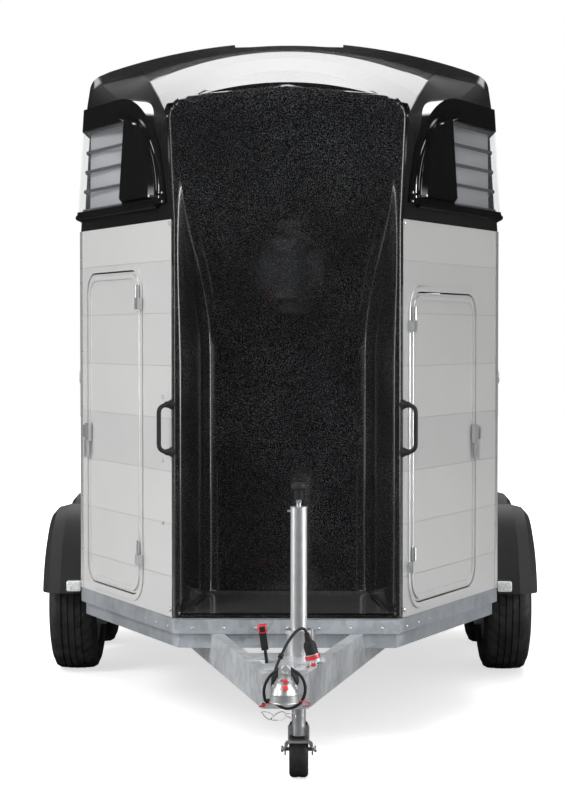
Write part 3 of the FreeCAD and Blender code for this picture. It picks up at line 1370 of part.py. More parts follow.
# The jockey wheel: clamp on the bridge plate, fixed outer tube with its crank knob, and a castering fork.
x_jockey = d.jockey_side
bridge_top = lower_top + d.plate_thick
clamp_radius = d.jockey_tube_radius + d.clamp_wall
clamp = less(
    joined(
        rod(clamp_radius, d.clamp_height, x_jockey, y_jockey, bridge_top),
        rod(clamp_radius + 7, 14, x_jockey, y_jockey, bridge_top + d.clamp_height - 14),
        box(x_jockey - d.clamp_foot, x_jockey + d.clamp_foot, y_jockey - 22, y_jockey + 22, bridge_top, bridge_top + 12),
        box(x_jockey - d.clamp_foot + 8, x_jockey + d.clamp_foot - 8, y_jockey - 9, y_jockey + 9,
            bridge_top, bridge_top + 44),
        box(x_jockey + 20, x_jockey + d.clamp_lug, y_jockey - 17, y_jockey + 17,
            bridge_top + 50, bridge_top + d.clamp_height - 4),
    ),
    rod(d.jockey_tube_radius + d.fit_gap, 200, x_jockey, y_jockey, bridge_top - 20),
    box(x_jockey, x_jockey + d.clamp_lug + 5, y_jockey - 3, y_jockey + 3,
        bridge_top + 46, bridge_top + d.clamp_height + 5),
)
screw = joined(
    rod(6, 62, x_jockey + d.clamp_lug - 12, y_jockey - 45, bridge_top + 70, "y"),
    rod(5, 60, x_jockey + d.clamp_lug - 12, y_jockey - 42, bridge_top + 40),
)
clamp = joined(clamp, screw)
keep("jockey_clamp", clamp)
tube_low = d.coupling_height - 120
outer_tube = less(
    rod(d.jockey_tube_radius, d.jockey_tube_top - tube_low, x_jockey, y_jockey, tube_low),
    rod(d.jockey_tube_radius - 4, d.jockey_tube_top - tube_low - 10, x_jockey, y_jockey, tube_low - 1),
)
keep("jockey_tube", outer_tube)
crank = joined(
    rod(8, 26, x_jockey, y_jockey, d.jockey_tube_top),
    box(x_jockey - 10, x_jockey + 10, y_jockey - 60, y_jockey + 12, d.jockey_tube_top + 20, d.jockey_tube_top + 28),
    rod(6, 20, x_jockey, y_jockey - 46, d.jockey_tube_top + 24),
    rod(14, 44, x_jockey, y_jockey - 46, d.jockey_tube_top + 32),
    rod(25, 14, x_jockey, y_jockey - 46, d.jockey_tube_top + 70),
)
keep("jockey_crank", crank)
y_caster = y_jockey + d.jockey_trail
fork_half = d.jockey_wheel_width / 2 + d.jockey_flare
inner_radius = d.jockey_tube_radius - 4 - d.fit_gap
tube_end = d.jockey_wheel_radius + 72
inner_tube = rod(inner_radius, d.jockey_tube_top - 100 - tube_end, x_jockey, y_jockey, tube_end)

# Each fork plate: narrow beside the tube, bent out to clear the wheel, upright again at the axle.
fork_top = d.jockey_wheel_radius + 105
bend_top = d.jockey_wheel_radius + 50
bend_low = d.jockey_wheel_radius + 14
neck = inner_radius + 8
bent = [
    (neck, fork_top),
    (neck, bend_top),
    (fork_half, bend_low),
    (fork_half, d.jockey_wheel_radius - 24),
    (fork_half + steel, d.jockey_wheel_radius - 24),
    (fork_half + steel, bend_low + 2),
    (neck + steel, bend_top + 2),
    (neck + steel, fork_top),
]
plate_outline = [
    (y_jockey - 30, fork_top),
    (y_jockey + 12, fork_top),
    (y_jockey + 12, bend_top - 6),
    (y_caster - 22, bend_low + 20),
    (y_caster + 22, bend_low),
    (y_caster + 22, d.jockey_wheel_radius - 18),
    (y_caster - 22, d.jockey_wheel_radius - 18),
    (y_jockey - 6, bend_top - 14),
    (y_jockey - 30, bend_top),
]
fork_plates = []
for sign in (-1, 1):
    sheet_bent = place(padded("XZ_Plane", [(x * sign, z) for x, z in bent], 400, midplane=True), x_jockey, y_jockey, 0)
    side_view = place(padded("YZ_Plane", plate_outline, 200, midplane=True), x_jockey, 0, 0)
    fork_plates.append(common(sheet_bent, side_view))
cross_bar = box(
    x_jockey - neck - 1, x_jockey + neck + 1, y_jockey - 30, y_jockey + 2, bend_top - 2, bend_top + 6,
)
webs = box(
    x_jockey - neck - 1, x_jockey + neck + 1, y_jockey - 6, y_jockey + 6, tube_end + 2, fork_top,
)
axle_pin = rod(7, fork_half * 2 + steel * 2 + 16, x_jockey - fork_half - steel - 8, y_caster, d.jockey_wheel_radius, "x")
keep("jockey_fork", joined(inner_tube, cross_bar, webs, *fork_plates, axle_pin))
half_width = d.jockey_wheel_width / 2
jockey_rim = turned([
    (-half_width + 4, 7 + d.fit_gap),
    (-half_width + 4, 20),
    (-8, 24),
    (-8, d.jockey_wheel_radius - d.jockey_tyre_depth - 8),
    (-half_width + 7, d.jockey_wheel_radius - d.jockey_tyre_depth - 6),
    (-half_width + 7, d.jockey_wheel_radius - d.jockey_tyre_depth),
    (half_width - 7, d.jockey_wheel_radius - d.jockey_tyre_depth),
    (half_width - 7, d.jockey_wheel_radius - d.jockey_tyre_depth - 6),
    (8, d.jockey_wheel_radius - d.jockey_tyre_depth - 8),
    (8, 24),
    (half_width - 4, 20),
    (half_width - 4, 7 + d.fit_gap),
])
keep("jockey_rim", place(jockey_rim, x_jockey, y_caster, d.jockey_wheel_radius))
jockey_steps = 40
jockey_seat = seat_radius(d.jockey_wheel_radius - d.jockey_tyre_depth, jockey_steps)
jockey_tyre = shaped(stepped([
    (-half_width + 6, jockey_seat),
    (-half_width, d.jockey_wheel_radius - d.jockey_tyre_depth + 6),
    (-half_width, d.jockey_wheel_radius - 9),
    (-half_width + 9, d.jockey_wheel_radius),
    (half_width - 9, d.jockey_wheel_radius),
    (half_width, d.jockey_wheel_radius - 9),
    (half_width, d.jockey_wheel_radius - d.jockey_tyre_depth + 6),
    (half_width - 6, jockey_seat),
], jockey_steps), "tyre")
keep("jockey_tyre", place(jockey_tyre, x_jockey, y_caster, d.jockey_wheel_radius))

# Grab handles on the angled walls by the nose, tie rings, marker lamps at the front corners and tail lamps.
handle_y = from_nose(d.grab_start)
grab = at_angle(joined(
    rod(9, d.grab_length, d.grab_out, handle_y, d.grab_low),
    box(0, d.grab_out, handle_y - 9, handle_y + 9, d.grab_low, d.grab_low + 20),
    box(0, d.grab_out, handle_y - 9, handle_y + 9, d.grab_low + d.grab_length - 20, d.grab_low + d.grab_length),
))
keep("grab_handles", apart(grab, mirrored(grab)))
tie_y = y_corner + 120
tie = joined(
    box(d.body_half, d.body_half + 5, tie_y - 22, tie_y + 22, d.tie_height - 26, d.tie_height + 26),
    rod(7, 14, d.body_half + 4, tie_y, d.tie_height, "x"),
    ring(24, 4, d.body_half + 14, tie_y, d.tie_height - 22, "x"),
)
keep("tie_rings", apart(tie, mirrored(tie)))
marker = joined(
    box(d.body_half, d.body_half + 30, y_corner - 24, y_corner + 34, d.rail_top - 28, d.rail_top - 22),
    box(d.body_half + 4, d.body_half + 68, y_corner - 36, y_corner + 6, d.rail_top - 22, d.rail_top + 26),
)
keep("marker_lamps", apart(marker, mirrored(marker)))
tail_low = lower_bottom + 2
tail = box(640, 840, y_rear - d.lower_inset, y_rear + 30, tail_low, tail_low + 46)
keep("tail_lamps", apart(tail, mirrored(tail)))


def cord_tube(node, points, radius):
    """A cord's tube: straight runs joined by tangent arcs, as large as their two runs allow."""
    points = [V(*point) for point in points]
    radius = float(radius)
    edges, last, radii, length = [], points[0], [], 0
    for before, here, after in zip(points, points[1:], points[2:]):
        arrive, leave = (here - before).normalize(), (after - here).normalize()
        turn = arrive.getAngle(leave)
        short = min(here.distanceToPoint(before), here.distanceToPoint(after))
        reach = 0.45 * short
        bend = reach / math.tan(turn / 2)
        radii.append(round(bend))
        start, end = here - arrive * reach, here + leave * reach
        inward = (leave - arrive).normalize()
        middle = here + inward * (bend / math.cos(turn / 2) - bend)
        edges.append(Part.LineSegment(last, start).toShape())
        edges.append(Part.Arc(start, middle, end).toShape())
        length += start.distanceToPoint(last) + bend * turn
        last = end
    edges.append(Part.LineSegment(last, points[-1]).toShape())
    length += points[-1].distanceToPoint(last)
    path = Part.Wire(edges)
    heading = (points[1] - points[0]).normalize()
    circle = Part.Wire(Part.Circle(points[0], heading, radius).toShape())
    tube = path.makePipeShell([circle], True, True)
    expected = math.pi * radius ** 2 * length
    print(f"{node}: length {length:.0f} mm, volume ratio {tube.Volume / expected:.3f}, bend radii {radii}")
    return keep(node, shaped(tube, "cord"))


# The electric cable: from its gland in the head plate, once round the draw tube, then over to the parked plug.
plate_face = float(y_beam - d.sheet_metal)
gland_out = 8
electric_route = [
    (-56, plate_face - gland_out, 352),
    (-56, -2048, 352),
    (-68, -2090, 372),
    (-70, -2106, 420),
    (-42, -2108, 466),
    (8, -2110, 482),
    (54, -2112, 460),
    (72, -2114, 412),
    (54, -2116, 362),
    (8, -2118, 342),
    (-36, -2116, 366),
    (-44, -2106, 414),
    (-32, -2072, 470),
    (-14, -2025, 506),
    (6, -1975, 540),
    (28, -1930, 566),
    (50, -1892, 580),
    (68.4, -1870, 573.3),
    (74, -1870, 552),
]
cord_tube("electric_cable", electric_route, d.cable_radius)

# The plug hangs tilted in its parking socket, which stands on a bracket on the housing's plate.
plug_top = electric_route[-1]
plug_tilt = angle_of(d.plug_lean, d.plug_drop)


def along_plug(radius, start, length):
    """A round piece on the plug's axis, from a distance below the plug's top."""
    thing = doc.addObject("Part::Cylinder", fresh("plug"))
    bind(thing, Radius=as_size(radius), Height=as_size(length))
    tilt = math.radians(float(plug_tilt))
    x, y, z = plug_top
    thing.Placement = FreeCAD.Placement(
        V(x + float(start) * math.sin(tilt), y, z - float(start) * math.cos(tilt)),
        FreeCAD.Rotation(V(0, 1, 0), 180 - float(plug_tilt)),
    )
    return thing


plug = joined(
    along_plug(9, 0, 22),
    along_plug(d.plug_radius, 20, d.plug_length - 20),
)
keep("electric_plug", plug)
socket_start = d.plug_length - d.socket_depth
holder = joined(
    less(
        along_plug(d.plug_radius + 4, socket_start, d.socket_depth + 6),
        along_plug(d.plug_radius + d.fit_gap, socket_start - 2, d.socket_depth + 2 + d.fit_gap),
    ),
    box(40, 124, plug_top[1] - 20, plug_top[1] + 20, bridge_top, bridge_top + 4),
)
keep("plug_holder", holder)

# The breakaway cable: a thin red loop in front of the head plate, held by an eye at each end.
breakaway_route = [
    (-72, plate_face - gland_out, 340),
    (-72, -2048, 340),
    (-90, -2094, 348),
    (-62, -2136, 366),
    (-14, -2150, 378),
    (36, -2148, 381),
    (78, -2124, 370),
    (88, -2084, 354),
    (60, -2040, 338),
    (60, plate_face - gland_out, 338),
]
cord_tube("breakaway_cable", breakaway_route, d.breakaway_radius)
glands = []
for (x, y, z), radius in (
    (electric_route[0], 9), (breakaway_route[0], 5), (breakaway_route[-1], 5),
):
    glands.append(rod(radius, gland_out, x, y, z, "y"))
keep("cable_glands", apart(*glands))

doc.recompute()
for thing in doc.Objects:
    for word in ("Invalid", "Error"):
        if word in thing.State:
            raise RuntimeError(f"{thing.Label} is {word}")
os.makedirs("parts", exist_ok=True)
for node, thing in nodes.items():
    if thing.Shape.isNull() or not thing.Shape.isValid():
        raise RuntimeError(f"{node} has no valid shape")
for node, thing in nodes.items():
    thing.Shape.exportStep(f"parts/{node}.step")
print(f"{len(nodes)} sub-parts written")
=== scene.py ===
"""A two-horse trailer as in its photograph: plank walls, black flake nose and hood, galvanised chassis."""

import math

import bmesh
import bpy
import numpy as np
from mathutils import Matrix, Vector


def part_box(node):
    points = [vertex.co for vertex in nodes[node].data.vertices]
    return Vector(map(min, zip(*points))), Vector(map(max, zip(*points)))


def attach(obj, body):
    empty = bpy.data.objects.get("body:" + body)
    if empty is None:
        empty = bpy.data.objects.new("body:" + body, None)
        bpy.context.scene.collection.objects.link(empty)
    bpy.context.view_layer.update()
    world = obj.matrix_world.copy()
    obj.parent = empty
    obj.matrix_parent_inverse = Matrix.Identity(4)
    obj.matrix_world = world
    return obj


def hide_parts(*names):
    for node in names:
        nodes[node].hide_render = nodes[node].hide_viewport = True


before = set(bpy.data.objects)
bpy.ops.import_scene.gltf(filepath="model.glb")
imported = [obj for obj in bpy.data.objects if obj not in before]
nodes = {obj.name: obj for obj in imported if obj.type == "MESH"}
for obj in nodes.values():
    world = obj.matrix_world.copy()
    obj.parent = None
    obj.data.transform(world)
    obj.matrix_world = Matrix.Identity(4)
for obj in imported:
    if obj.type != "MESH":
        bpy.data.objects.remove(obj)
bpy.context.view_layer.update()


# The photograph's view: 564 x 800 pixels from in front of the coupling at a person's height, with a long
# lens, level within two degrees.
photo_height, focal_pixels = 800, 1950
camera_place = (0.06, -8.50, 1.57)
tilt_down, turn_left = 1.85, 0.62
camera = bpy.data.objects.new("camera", bpy.data.cameras.new("camera"))
bpy.context.scene.collection.objects.link(camera)
bpy.context.scene.camera = camera
camera.data.sensor_width = 36
camera.data.lens = focal_pixels / photo_height * camera.data.sensor_width
camera.data.clip_end = 100
camera.location = camera_place
camera.rotation_euler = (math.radians(90 - tilt_down), 0, math.radians(turn_left))


# The studio: a white room with a pale floor, lit by soft boxes above, at the left front and beside the
# trailer. Gloss and metal mirror a dark room with a few pale walls and boxes in it, as the photograph's
# reflections show.
class Value:
    """A shader value that makes Math nodes when it is added, subtracted or multiplied."""

    def __init__(self, tree, socket):
        self.tree = tree
        self.socket = socket

    def math(self, kind, *others):
        node = self.tree.nodes.new("ShaderNodeMath")
        node.operation = kind
        for slot, value in zip(node.inputs, (self, *others)):
            if isinstance(value, Value):
                self.tree.links.new(value.socket, slot)
            else:
                slot.default_value = value
        return Value(self.tree, node.outputs[0])

    def __add__(self, other):
        return self.math("ADD", other)

    def __sub__(self, other):
        return self.math("SUBTRACT", other)

    def __mul__(self, other):
        return self.math("MULTIPLY", other)

    def rising(self, low, high):
        """0 below low, 1 above high, smooth between."""
        node = self.tree.nodes.new("ShaderNodeMapRange")
        node.interpolation_type = "SMOOTHSTEP"
        self.tree.links.new(self.socket, node.inputs["Value"])
        node.inputs["From Min"].default_value = low
        node.inputs["From Max"].default_value = high
        return Value(self.tree, node.outputs["Result"])


class Finish:
    """A material in the making, on Object coordinates, with short calls for its textures."""

    def __init__(self, name, slot=None):
        self.material = bpy.data.materials.new(name)
        self.material.use_nodes = True
        self.tree = self.material.node_tree
        self.shader = self.tree.nodes["Principled BSDF"]
        self.slot = slot
        coords = self.tree.nodes.new("ShaderNodeTexCoord")
        self.place = coords.outputs["Object"]

    def scaled(self, x, y, z):
        node = self.tree.nodes.new("ShaderNodeVectorMath")
        node.operation = "MULTIPLY"
        self.tree.links.new(self.place, node.inputs[0])
        node.inputs[1].default_value = (x, y, z)
        return node.outputs[0]

    def axis(self, name):
        node = self.tree.nodes.new("ShaderNodeSeparateXYZ")
        self.tree.links.new(self.place, node.inputs[0])
        return Value(self.tree, node.outputs[name])

    def noise(self, scale, detail=3, rough=0.55, stretch=(1, 1, 1)):
        node = self.tree.nodes.new("ShaderNodeTexNoise")
        node.inputs["Scale"].default_value = scale
        node.inputs["Detail"].default_value = detail
        node.inputs["Roughness"].default_value = rough
        self.tree.links.new(self.scaled(*stretch), node.inputs["Vector"])
        return Value(self.tree, node.outputs[0])

    def cells(self, scale, output="Distance", stretch=(1, 1, 1)):
        """A Voronoi texture: the distance to the nearest cell's centre, or a value for each cell."""
        node = self.tree.nodes.new("ShaderNodeTexVoronoi")
        node.inputs["Scale"].default_value = scale
        self.tree.links.new(self.scaled(*stretch), node.inputs["Vector"])
        if output == "Distance":
            return Value(self.tree, node.outputs["Distance"])
        split = self.tree.nodes.new("ShaderNodeSeparateColor")
        self.tree.links.new(node.outputs["Color"], split.inputs[0])
        return Value(self.tree, split.outputs[0])

    def mix(self, factor, a, b):
        """A colour between a and b; either may be a colour or an earlier mix."""
        node = self.tree.nodes.new("ShaderNodeMix")
        node.data_type = "RGBA"
        self.tree.links.new(factor.socket, node.inputs["Factor"])
        for slot, colour in ((node.inputs[6], a), (node.inputs[7], b)):
            if isinstance(colour, Value):
                self.tree.links.new(colour.socket, slot)
            else:
                slot.default_value = (*colour, 1)
        return Value(self.tree, node.outputs[2])

    def put(self, name, value):
        slot = self.shader.inputs[name]
        if isinstance(value, Value):
            self.tree.links.new(value.socket, slot)
        elif hasattr(value, "__len__"):
            slot.default_value = (*value, 1)
        else:
            slot.default_value = value

    def bump(self, height, strength, depth):
        node = self.tree.nodes.new("ShaderNodeBump")
        node.inputs["Strength"].default_value = strength
        node.inputs["Distance"].default_value = depth
        self.tree.links.new(height.socket, node.inputs["Height"])
        self.tree.links.new(node.outputs["Normal"], self.shader.inputs["Normal"])
        return self

    def surface(self, colour, rough, metal=0.0, coat=0.0):
        self.put("Base Color", colour)
        self.put("Roughness", rough)
        self.put("Metallic", metal)
        if coat:
            self.put("Coat Weight", coat)
            self.shader.inputs["Coat Roughness"].default_value = 0.06
        return self


def studio_room():
    """The world: white to the camera, even to matt surfaces, and to gloss the sum of the walls and boxes
    that it mirrors. Each of those is a product of smooth steps in the direction's x, y and z."""
    scene = bpy.context.scene
    scene.view_settings.view_transform = "Standard"
    world = bpy.data.worlds.new("studio")
    scene.world = world
    world.use_nodes = True
    tree = world.node_tree
    back = tree.nodes["Background"]
    coords = tree.nodes.new("ShaderNodeTexCoord")
    split = tree.nodes.new("ShaderNodeSeparateXYZ")
    tree.links.new(coords.outputs["Generated"], split.inputs[0])
    x, y, z = (Value(tree, split.outputs[name]) for name in "XYZ")
    rays = tree.nodes.new("ShaderNodeLightPath")
    seen = Value(tree, rays.outputs["Is Camera Ray"])
    through = Value(tree, rays.outputs["Is Transmission Ray"])
    glossy = Value(tree, rays.outputs["Is Glossy Ray"])
    side_walls = y.rising(-0.88, -0.62) * y.rising(0.42, 0.12) * z.rising(0.45, 0.2) * (x * 0.45 + 0.85)
    far = x.math("ABSOLUTE")
    narrowing = (far - ((z - 0.28) * 1.9).math("MAXIMUM", 0.13)).rising(0.02, -0.02)
    width = (far - y * 0.56).rising(0.04, -0.02) * narrowing
    hood_box = y.rising(0.2, 0.4) * z.rising(0.15, 0.19) * z.rising(0.82, 0.76) * width * (z * z * 6.8 + 0.52)
    pod_strips = far.rising(0.46, 0.53) * far.rising(0.70, 0.64) * z.rising(0.12, 0.25)
    pod_strips = pod_strips * y.rising(0.48, 0.36) * 5.0
    softbox = y.rising(-0.42, -0.34) * y.rising(-0.02, -0.10) * z.rising(0.5, 0.4)
    softbox = softbox * (x.rising(-0.5, 0.5) * 4.5 + 1.5)
    mirror = side_walls + hood_box + pod_strips + softbox + 0.015
    diffuse = x * -0.10 + 0.55
    direct = seen.math("MAXIMUM", through)
    other = glossy * mirror + (glossy * -1 + 1) * diffuse
    level = direct + (direct * -1 + 1) * other
    tree.links.new(level.socket, back.inputs["Color"])
    back.inputs["Strength"].default_value = 1.0


def soft_light(name, place, aim, width, height, power, diffuse=True, glossy=True):
    """A rectangular lamp that faces its aim and isn't seen itself."""
    light = bpy.data.lights.new(name, "AREA")
    light.shape = "RECTANGLE"
    light.size, light.size_y, light.energy = width, height, power
    lamp = bpy.data.objects.new(name, light)
    bpy.context.scene.collection.objects.link(lamp)
    lamp.location = place
    lamp.rotation_mode = "QUATERNION"
    lamp.rotation_quaternion = (Vector(aim) - Vector(place)).to_track_quat("-Z", "Y")
    lamp.visible_diffuse = diffuse
    lamp.visible_glossy = glossy
    lamp.visible_camera = False


def studio_floor():
    """The floor: matt and pale, with a glow that is brighter away from the trailer, leaving a painted shade
    round it, and dark in gloss apart from two bands beside it."""
    bpy.ops.mesh.primitive_plane_add(size=60)
    floor = bpy.context.object
    floor.name = "floor"
    paint = Finish("pale_floor")
    across, along = paint.axis("X"), paint.axis("Y")
    away = (across * across + along * along).math("SQRT")
    floor_rays = paint.tree.nodes.new("ShaderNodeLightPath")
    floor_glossy = Value(paint.tree, floor_rays.outputs["Is Glossy Ray"])
    paint.surface(paint.mix(floor_glossy, (0.80, 0.80, 0.80), (0.03, 0.03, 0.03)), 0.9)
    paint.shader.inputs["Specular IOR Level"].default_value = 0.0
    floor_seen = Value(paint.tree, floor_rays.outputs["Is Camera Ray"])
    floor_through = Value(paint.tree, floor_rays.outputs["Is Transmission Ray"])
    lit = floor_seen.math("MAXIMUM", floor_through)
    # Painted shade: the glow is 0.65 near the trailer and rises to 1.0 between 1.2 and 4 m from the middle,
    # so the floor round the trailer is painted darker.
    glow_and_painted_shade = away.rising(1.2, 4.0) * 0.35 + 0.65
    ahead = (along * -1 - 2.0).math("MAXIMUM", 0.0)
    wide = across.math("ABSOLUTE")
    beside = (wide - ahead * 1.2).rising(2.2, 2.8) * (along - wide * 0.45).rising(1.4, 0.4)
    box_band = wide.rising(2.8, 3.0) * wide.rising(4.4, 4.2)
    bright = across.rising(-0.5, 0.5) * 0.9 + 0.7
    mirrored = floor_glossy * beside * (bright + box_band * bright * 2.5)
    paint.put("Emission Color", paint.mix(glow_and_painted_shade * lit + mirrored, (0, 0, 0), (1.0, 1.0, 1.0)))
    paint.shader.inputs["Emission Strength"].default_value = 1.0
    floor.data.materials.append(paint.material)


studio_room()
soft_light("overhead", (0, 0.5, 6.5), (0, 0.3, 0), 6, 7, 420, glossy=False)
soft_light("left_key", (-4.4, -4.2, 4.8), (-0.7, -0.7, 2.3), 2, 2, 215, glossy=False)
soft_light("front_fill", (1.0, -8.0, 3.0), (0, -1.5, 0.8), 4, 2.5, 110, glossy=False)
for side, power in ((-1, 90), (1, 150)):
    soft_light(f"strip_{side}", (7 * side, -3.5, 2.6), (0, -0.4, 1.6), 0.7, 4.5, power, diffuse=False)
studio_floor()


# Chassis: two folded rails, one on the other, run round under the walls, on cross members and the drawbar's
# two channels. All of it is folded and welded steel, hot-dip galvanised, with bright edges. Rivets hold the
# walls on it.
def galvanised(name="galvanised_steel", tint=(1, 1, 1), metal=0.4, painted_side_shade=0.0):
    """Hot-dip zinc: crystals a few centimetres wide in greys, cloudy runs, and a fine grain. The last
    argument mixes in dark grey beyond the nose's half width, along the angled walls and sides: painted shade
    and reflection.
    """
    f = Finish(name, "galvanised")
    spangle = f.cells(34, "Color")
    cloud = f.noise(5.5, 4, 0.6)
    grain = f.noise(160, 2)
    tone = spangle * 0.18 + cloud * 0.82
    dark, light = np.array((0.42, 0.44, 0.46)) * tint, np.array((0.72, 0.74, 0.76)) * tint
    colour = f.mix(tone.rising(0.2, 0.8), dark, light)
    if painted_side_shade:
        # Painted shade: beyond the nose's half width, along the angled walls and sides, the zinc is mixed
        # towards dark grey for its darker reflections.
        colour = f.mix(f.axis("X").math("ABSOLUTE").rising(0.42, 0.46) * painted_side_shade, colour, (0.10, 0.11, 0.12))
    f.surface(colour, spangle * 0.06 + grain * 0.1 + 0.34, metal)
    return f.bump(grain * 0.6 + cloud, 0.12, 0.0006)


def bright_zinc():
    """Bright zinc plating on small steel parts: nearly smooth, faintly clouded."""
    f = Finish("bright_zinc", "galvanised")
    cloud = f.noise(26, 3)
    return f.surface(f.mix(cloud, (0.58, 0.59, 0.60), (0.74, 0.75, 0.76)), cloud * 0.08 + 0.30, 0.8)


def clad(finish, *names):
    """Gives CAD nodes a finish, smooth except over their sharp edges."""
    for name in names:
        mesh = nodes[name].data
        mesh.materials.clear()
        mesh.materials.append(finish.material)
        mesh.shade_smooth()
        mesh.set_sharp_from_angle(angle=math.radians(32))


def dress(piece, finish):
    """Gives a new piece its finish."""
    piece.data.materials.clear()
    piece.data.materials.append(finish.material)
    return piece


hot_zinc = galvanised()
# Painted shade: the rail's zinc is darkened along the angled walls and sides by the last argument.
rail_zinc_painted_shade = galvanised("galvanised_rail_painted_shade", (0.88, 0.91, 0.95), 0.45, 0.5)
zinc_plate = bright_zinc()
clad(rail_zinc_painted_shade, "perimeter_rail", "lower_frame")
clad(hot_zinc, "cross_members", "drawbar")


def corner_of(node):
    """The low and the high corner of a CAD node's box."""
    low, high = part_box(node)
    return np.array(low), np.array(high)


nose_low, nose_high = corner_of("nose_shell")
side_low, side_high = corner_of("side_walls")
rail_low, rail_high = corner_of("perimeter_rail")
y_front, y_corner, body_half = nose_low[1], side_low[1], side_high[0]
nose_half = 0.426
wall_run = np.array([body_half - nose_half, y_corner - y_front])
wall_length = float(np.hypot(*wall_run))
wall_ahead = wall_run / wall_length
wall_out = np.array([wall_ahead[1], -wall_ahead[0]])


def on_wall(side, along, out, z):
    """A place on an angled wall: along it from the nose, out from its face, and up. side is -1 or 1."""
    x = nose_half + wall_ahead[0] * np.asarray(along) + wall_out[0] * np.asarray(out)
    y = y_front + wall_ahead[1] * np.asarray(along) + wall_out[1] * np.asarray(out)
    return np.stack(np.broadcast_arrays(x * side, y, z), -1)


def grid_faces(rows, cols, wrap_rows=False, wrap_cols=False):
    """Quads between neighbouring points of a rows by cols grid."""
    r = np.arange(rows if wrap_rows else rows - 1)
    c = np.arange(cols if wrap_cols else cols - 1)
    r, c = np.meshgrid(r, c, indexing="ij")
    a = r * cols + c
    b = r * cols + (c + 1) % cols
    e = (r + 1) % rows * cols + (c + 1) % cols
    f = (r + 1) % rows * cols + c
    return np.stack([a, b, e, f], -1).reshape(-1, 4)


def swept(path, section, closed=False, up=(0, 0, 1)):
    """Points and faces of a section (right, up) carried along a path, with caps where the path is open."""
    path = np.asarray(path, float)
    ahead = np.roll(path, -1, 0) - np.roll(path, 1, 0)
    if not closed:
        ahead[0], ahead[-1] = path[1] - path[0], path[-1] - path[-2]
    ahead /= np.linalg.norm(ahead, axis=1)[:, None]
    right = np.cross(ahead, np.broadcast_to(up, ahead.shape))
    right /= np.linalg.norm(right, axis=1)[:, None]
    over = np.cross(right, ahead)
    section = np.asarray(section, float)
    points = path[:, None] + section[None, :, :1] * right[:, None] + section[None, :, 1:] * over[:, None]
    faces = grid_faces(len(path), len(section), closed, True).tolist()
    if not closed:
        last = (len(path) - 1) * len(section)
        faces.append(list(range(len(section)))[::-1])
        faces.append([last + k for k in range(len(section))])
    return points.reshape(-1, 3), faces


def gathered(name, parts, finish, body="chassis", sharp=35):
    """One mesh piece from several (points, faces) parts."""
    points, faces, start = [], [], 0
    for part_points, part_faces in parts:
        part_points = np.asarray(part_points, float).reshape(-1, 3)
        points.append(part_points)
        faces += [[start + i for i in face] for face in np.asarray(part_faces, dtype=object).tolist()]
        start += len(part_points)
    mesh = bpy.data.meshes.new(name)
    mesh.from_pydata(np.concatenate(points).tolist(), [], faces)
    mesh.shade_smooth()
    mesh.set_sharp_from_angle(angle=math.radians(sharp))
    piece = bpy.data.objects.new(name, mesh)
    bpy.context.scene.collection.objects.link(piece)
    dress(piece, finish)
    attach(piece, body)
    return piece


def round_section(radius, sides):
    """Points on a circle."""
    turn = np.linspace(0, 2 * np.pi, sides, endpoint=False)
    return np.stack([np.cos(turn), np.sin(turn)], -1) * radius


def rail_edges():
    """Round bright lips, 2 mm in radius, along the rail's top and foot: both angled walls, both sides and
    the front."""
    thick, steps, end_gap = 0.0021, 24, 0.02
    parts = []
    for z in (rail_high[2] - 0.0015, rail_low[2] + 0.0015):
        for side in (-1, 1):
            wall = on_wall(side, np.linspace(0, wall_length, steps), 0.0005, z)
            flank = np.stack([
                np.full(steps, (body_half + 0.0005) * side),
                np.linspace(y_corner + end_gap, rail_high[1] - end_gap, steps), np.full(steps, z),
            ], -1)
            parts.append(swept(np.concatenate([wall, flank]), round_section(thick, 8)))
        front = np.linspace(-nose_half + 0.004, nose_half - 0.004, 9)
        lip = np.stack([front, np.full(9, y_front - 0.0005), np.full(9, z)], -1)
        parts.append(swept(lip, round_section(thick, 8)))
    gathered("rail_edges", parts, zinc_plate, "chassis", 40)


rail_edges()


def turned_part(profile, place, direction, steps=16):
    """Points and faces of a turned piece: a profile of (along, radius) from its foot, with flat ends."""
    profile = np.asarray(profile, float)
    direction = Vector(direction).normalized()
    basis = np.array(direction.to_track_quat("Z", "Y").to_matrix())
    turn = np.linspace(0, 2 * np.pi, steps, endpoint=False)
    local = np.stack([
        profile[:, None, 1] * np.cos(turn), profile[:, None, 1] * np.sin(turn),
        np.repeat(profile[:, :1], steps, 1),
    ], -1)
    faces = grid_faces(len(profile), steps, False, True).tolist()
    faces.append(list(range(steps))[::-1])
    faces.append([(len(profile) - 1) * steps + k for k in range(steps)])
    return (local @ basis.T + np.asarray(place)).reshape(-1, 3), faces


def screws_row(name, places, direction, radius, height=0.004):
    """Domed heads of one size in a row: each steps in from its radius at the foot to half of it on top."""
    head = [(0, radius), (height * 0.6, radius * 0.95), (height, radius * 0.5)]
    parts = [turned_part(head, place, direction, 12) for place in places]
    return gathered(name, parts, zinc_plate, "chassis", 30)


rivet_radius, rivet_height = 0.0055, 0.468
wall_facing = {side: (wall_out[0] * side, wall_out[1], 0) for side in (-1, 1)}
for side, key in ((-1, "left"), (1, "right")):
    rail = [on_wall(side, u, 0.0005, rivet_height) for u in np.linspace(0.07, wall_length - 0.07, 9)]
    screws_row(f"rail_rivets_{key}", rail, wall_facing[side], rivet_radius)
    run = np.linspace(y_corner + 0.1, side_high[1] - 0.1, 16)
    along_side = [(body_half * side, y, rivet_height) for y in run]
    screws_row(f"side_rivets_{key}", along_side, (side, 0, 0), rivet_radius)
across_nose = [(x, y_front - 0.0005, rivet_height) for x in np.linspace(-0.36, 0.36, 7)]
screws_row("nose_rivets", across_nose, (0, -1, 0), rivet_radius)


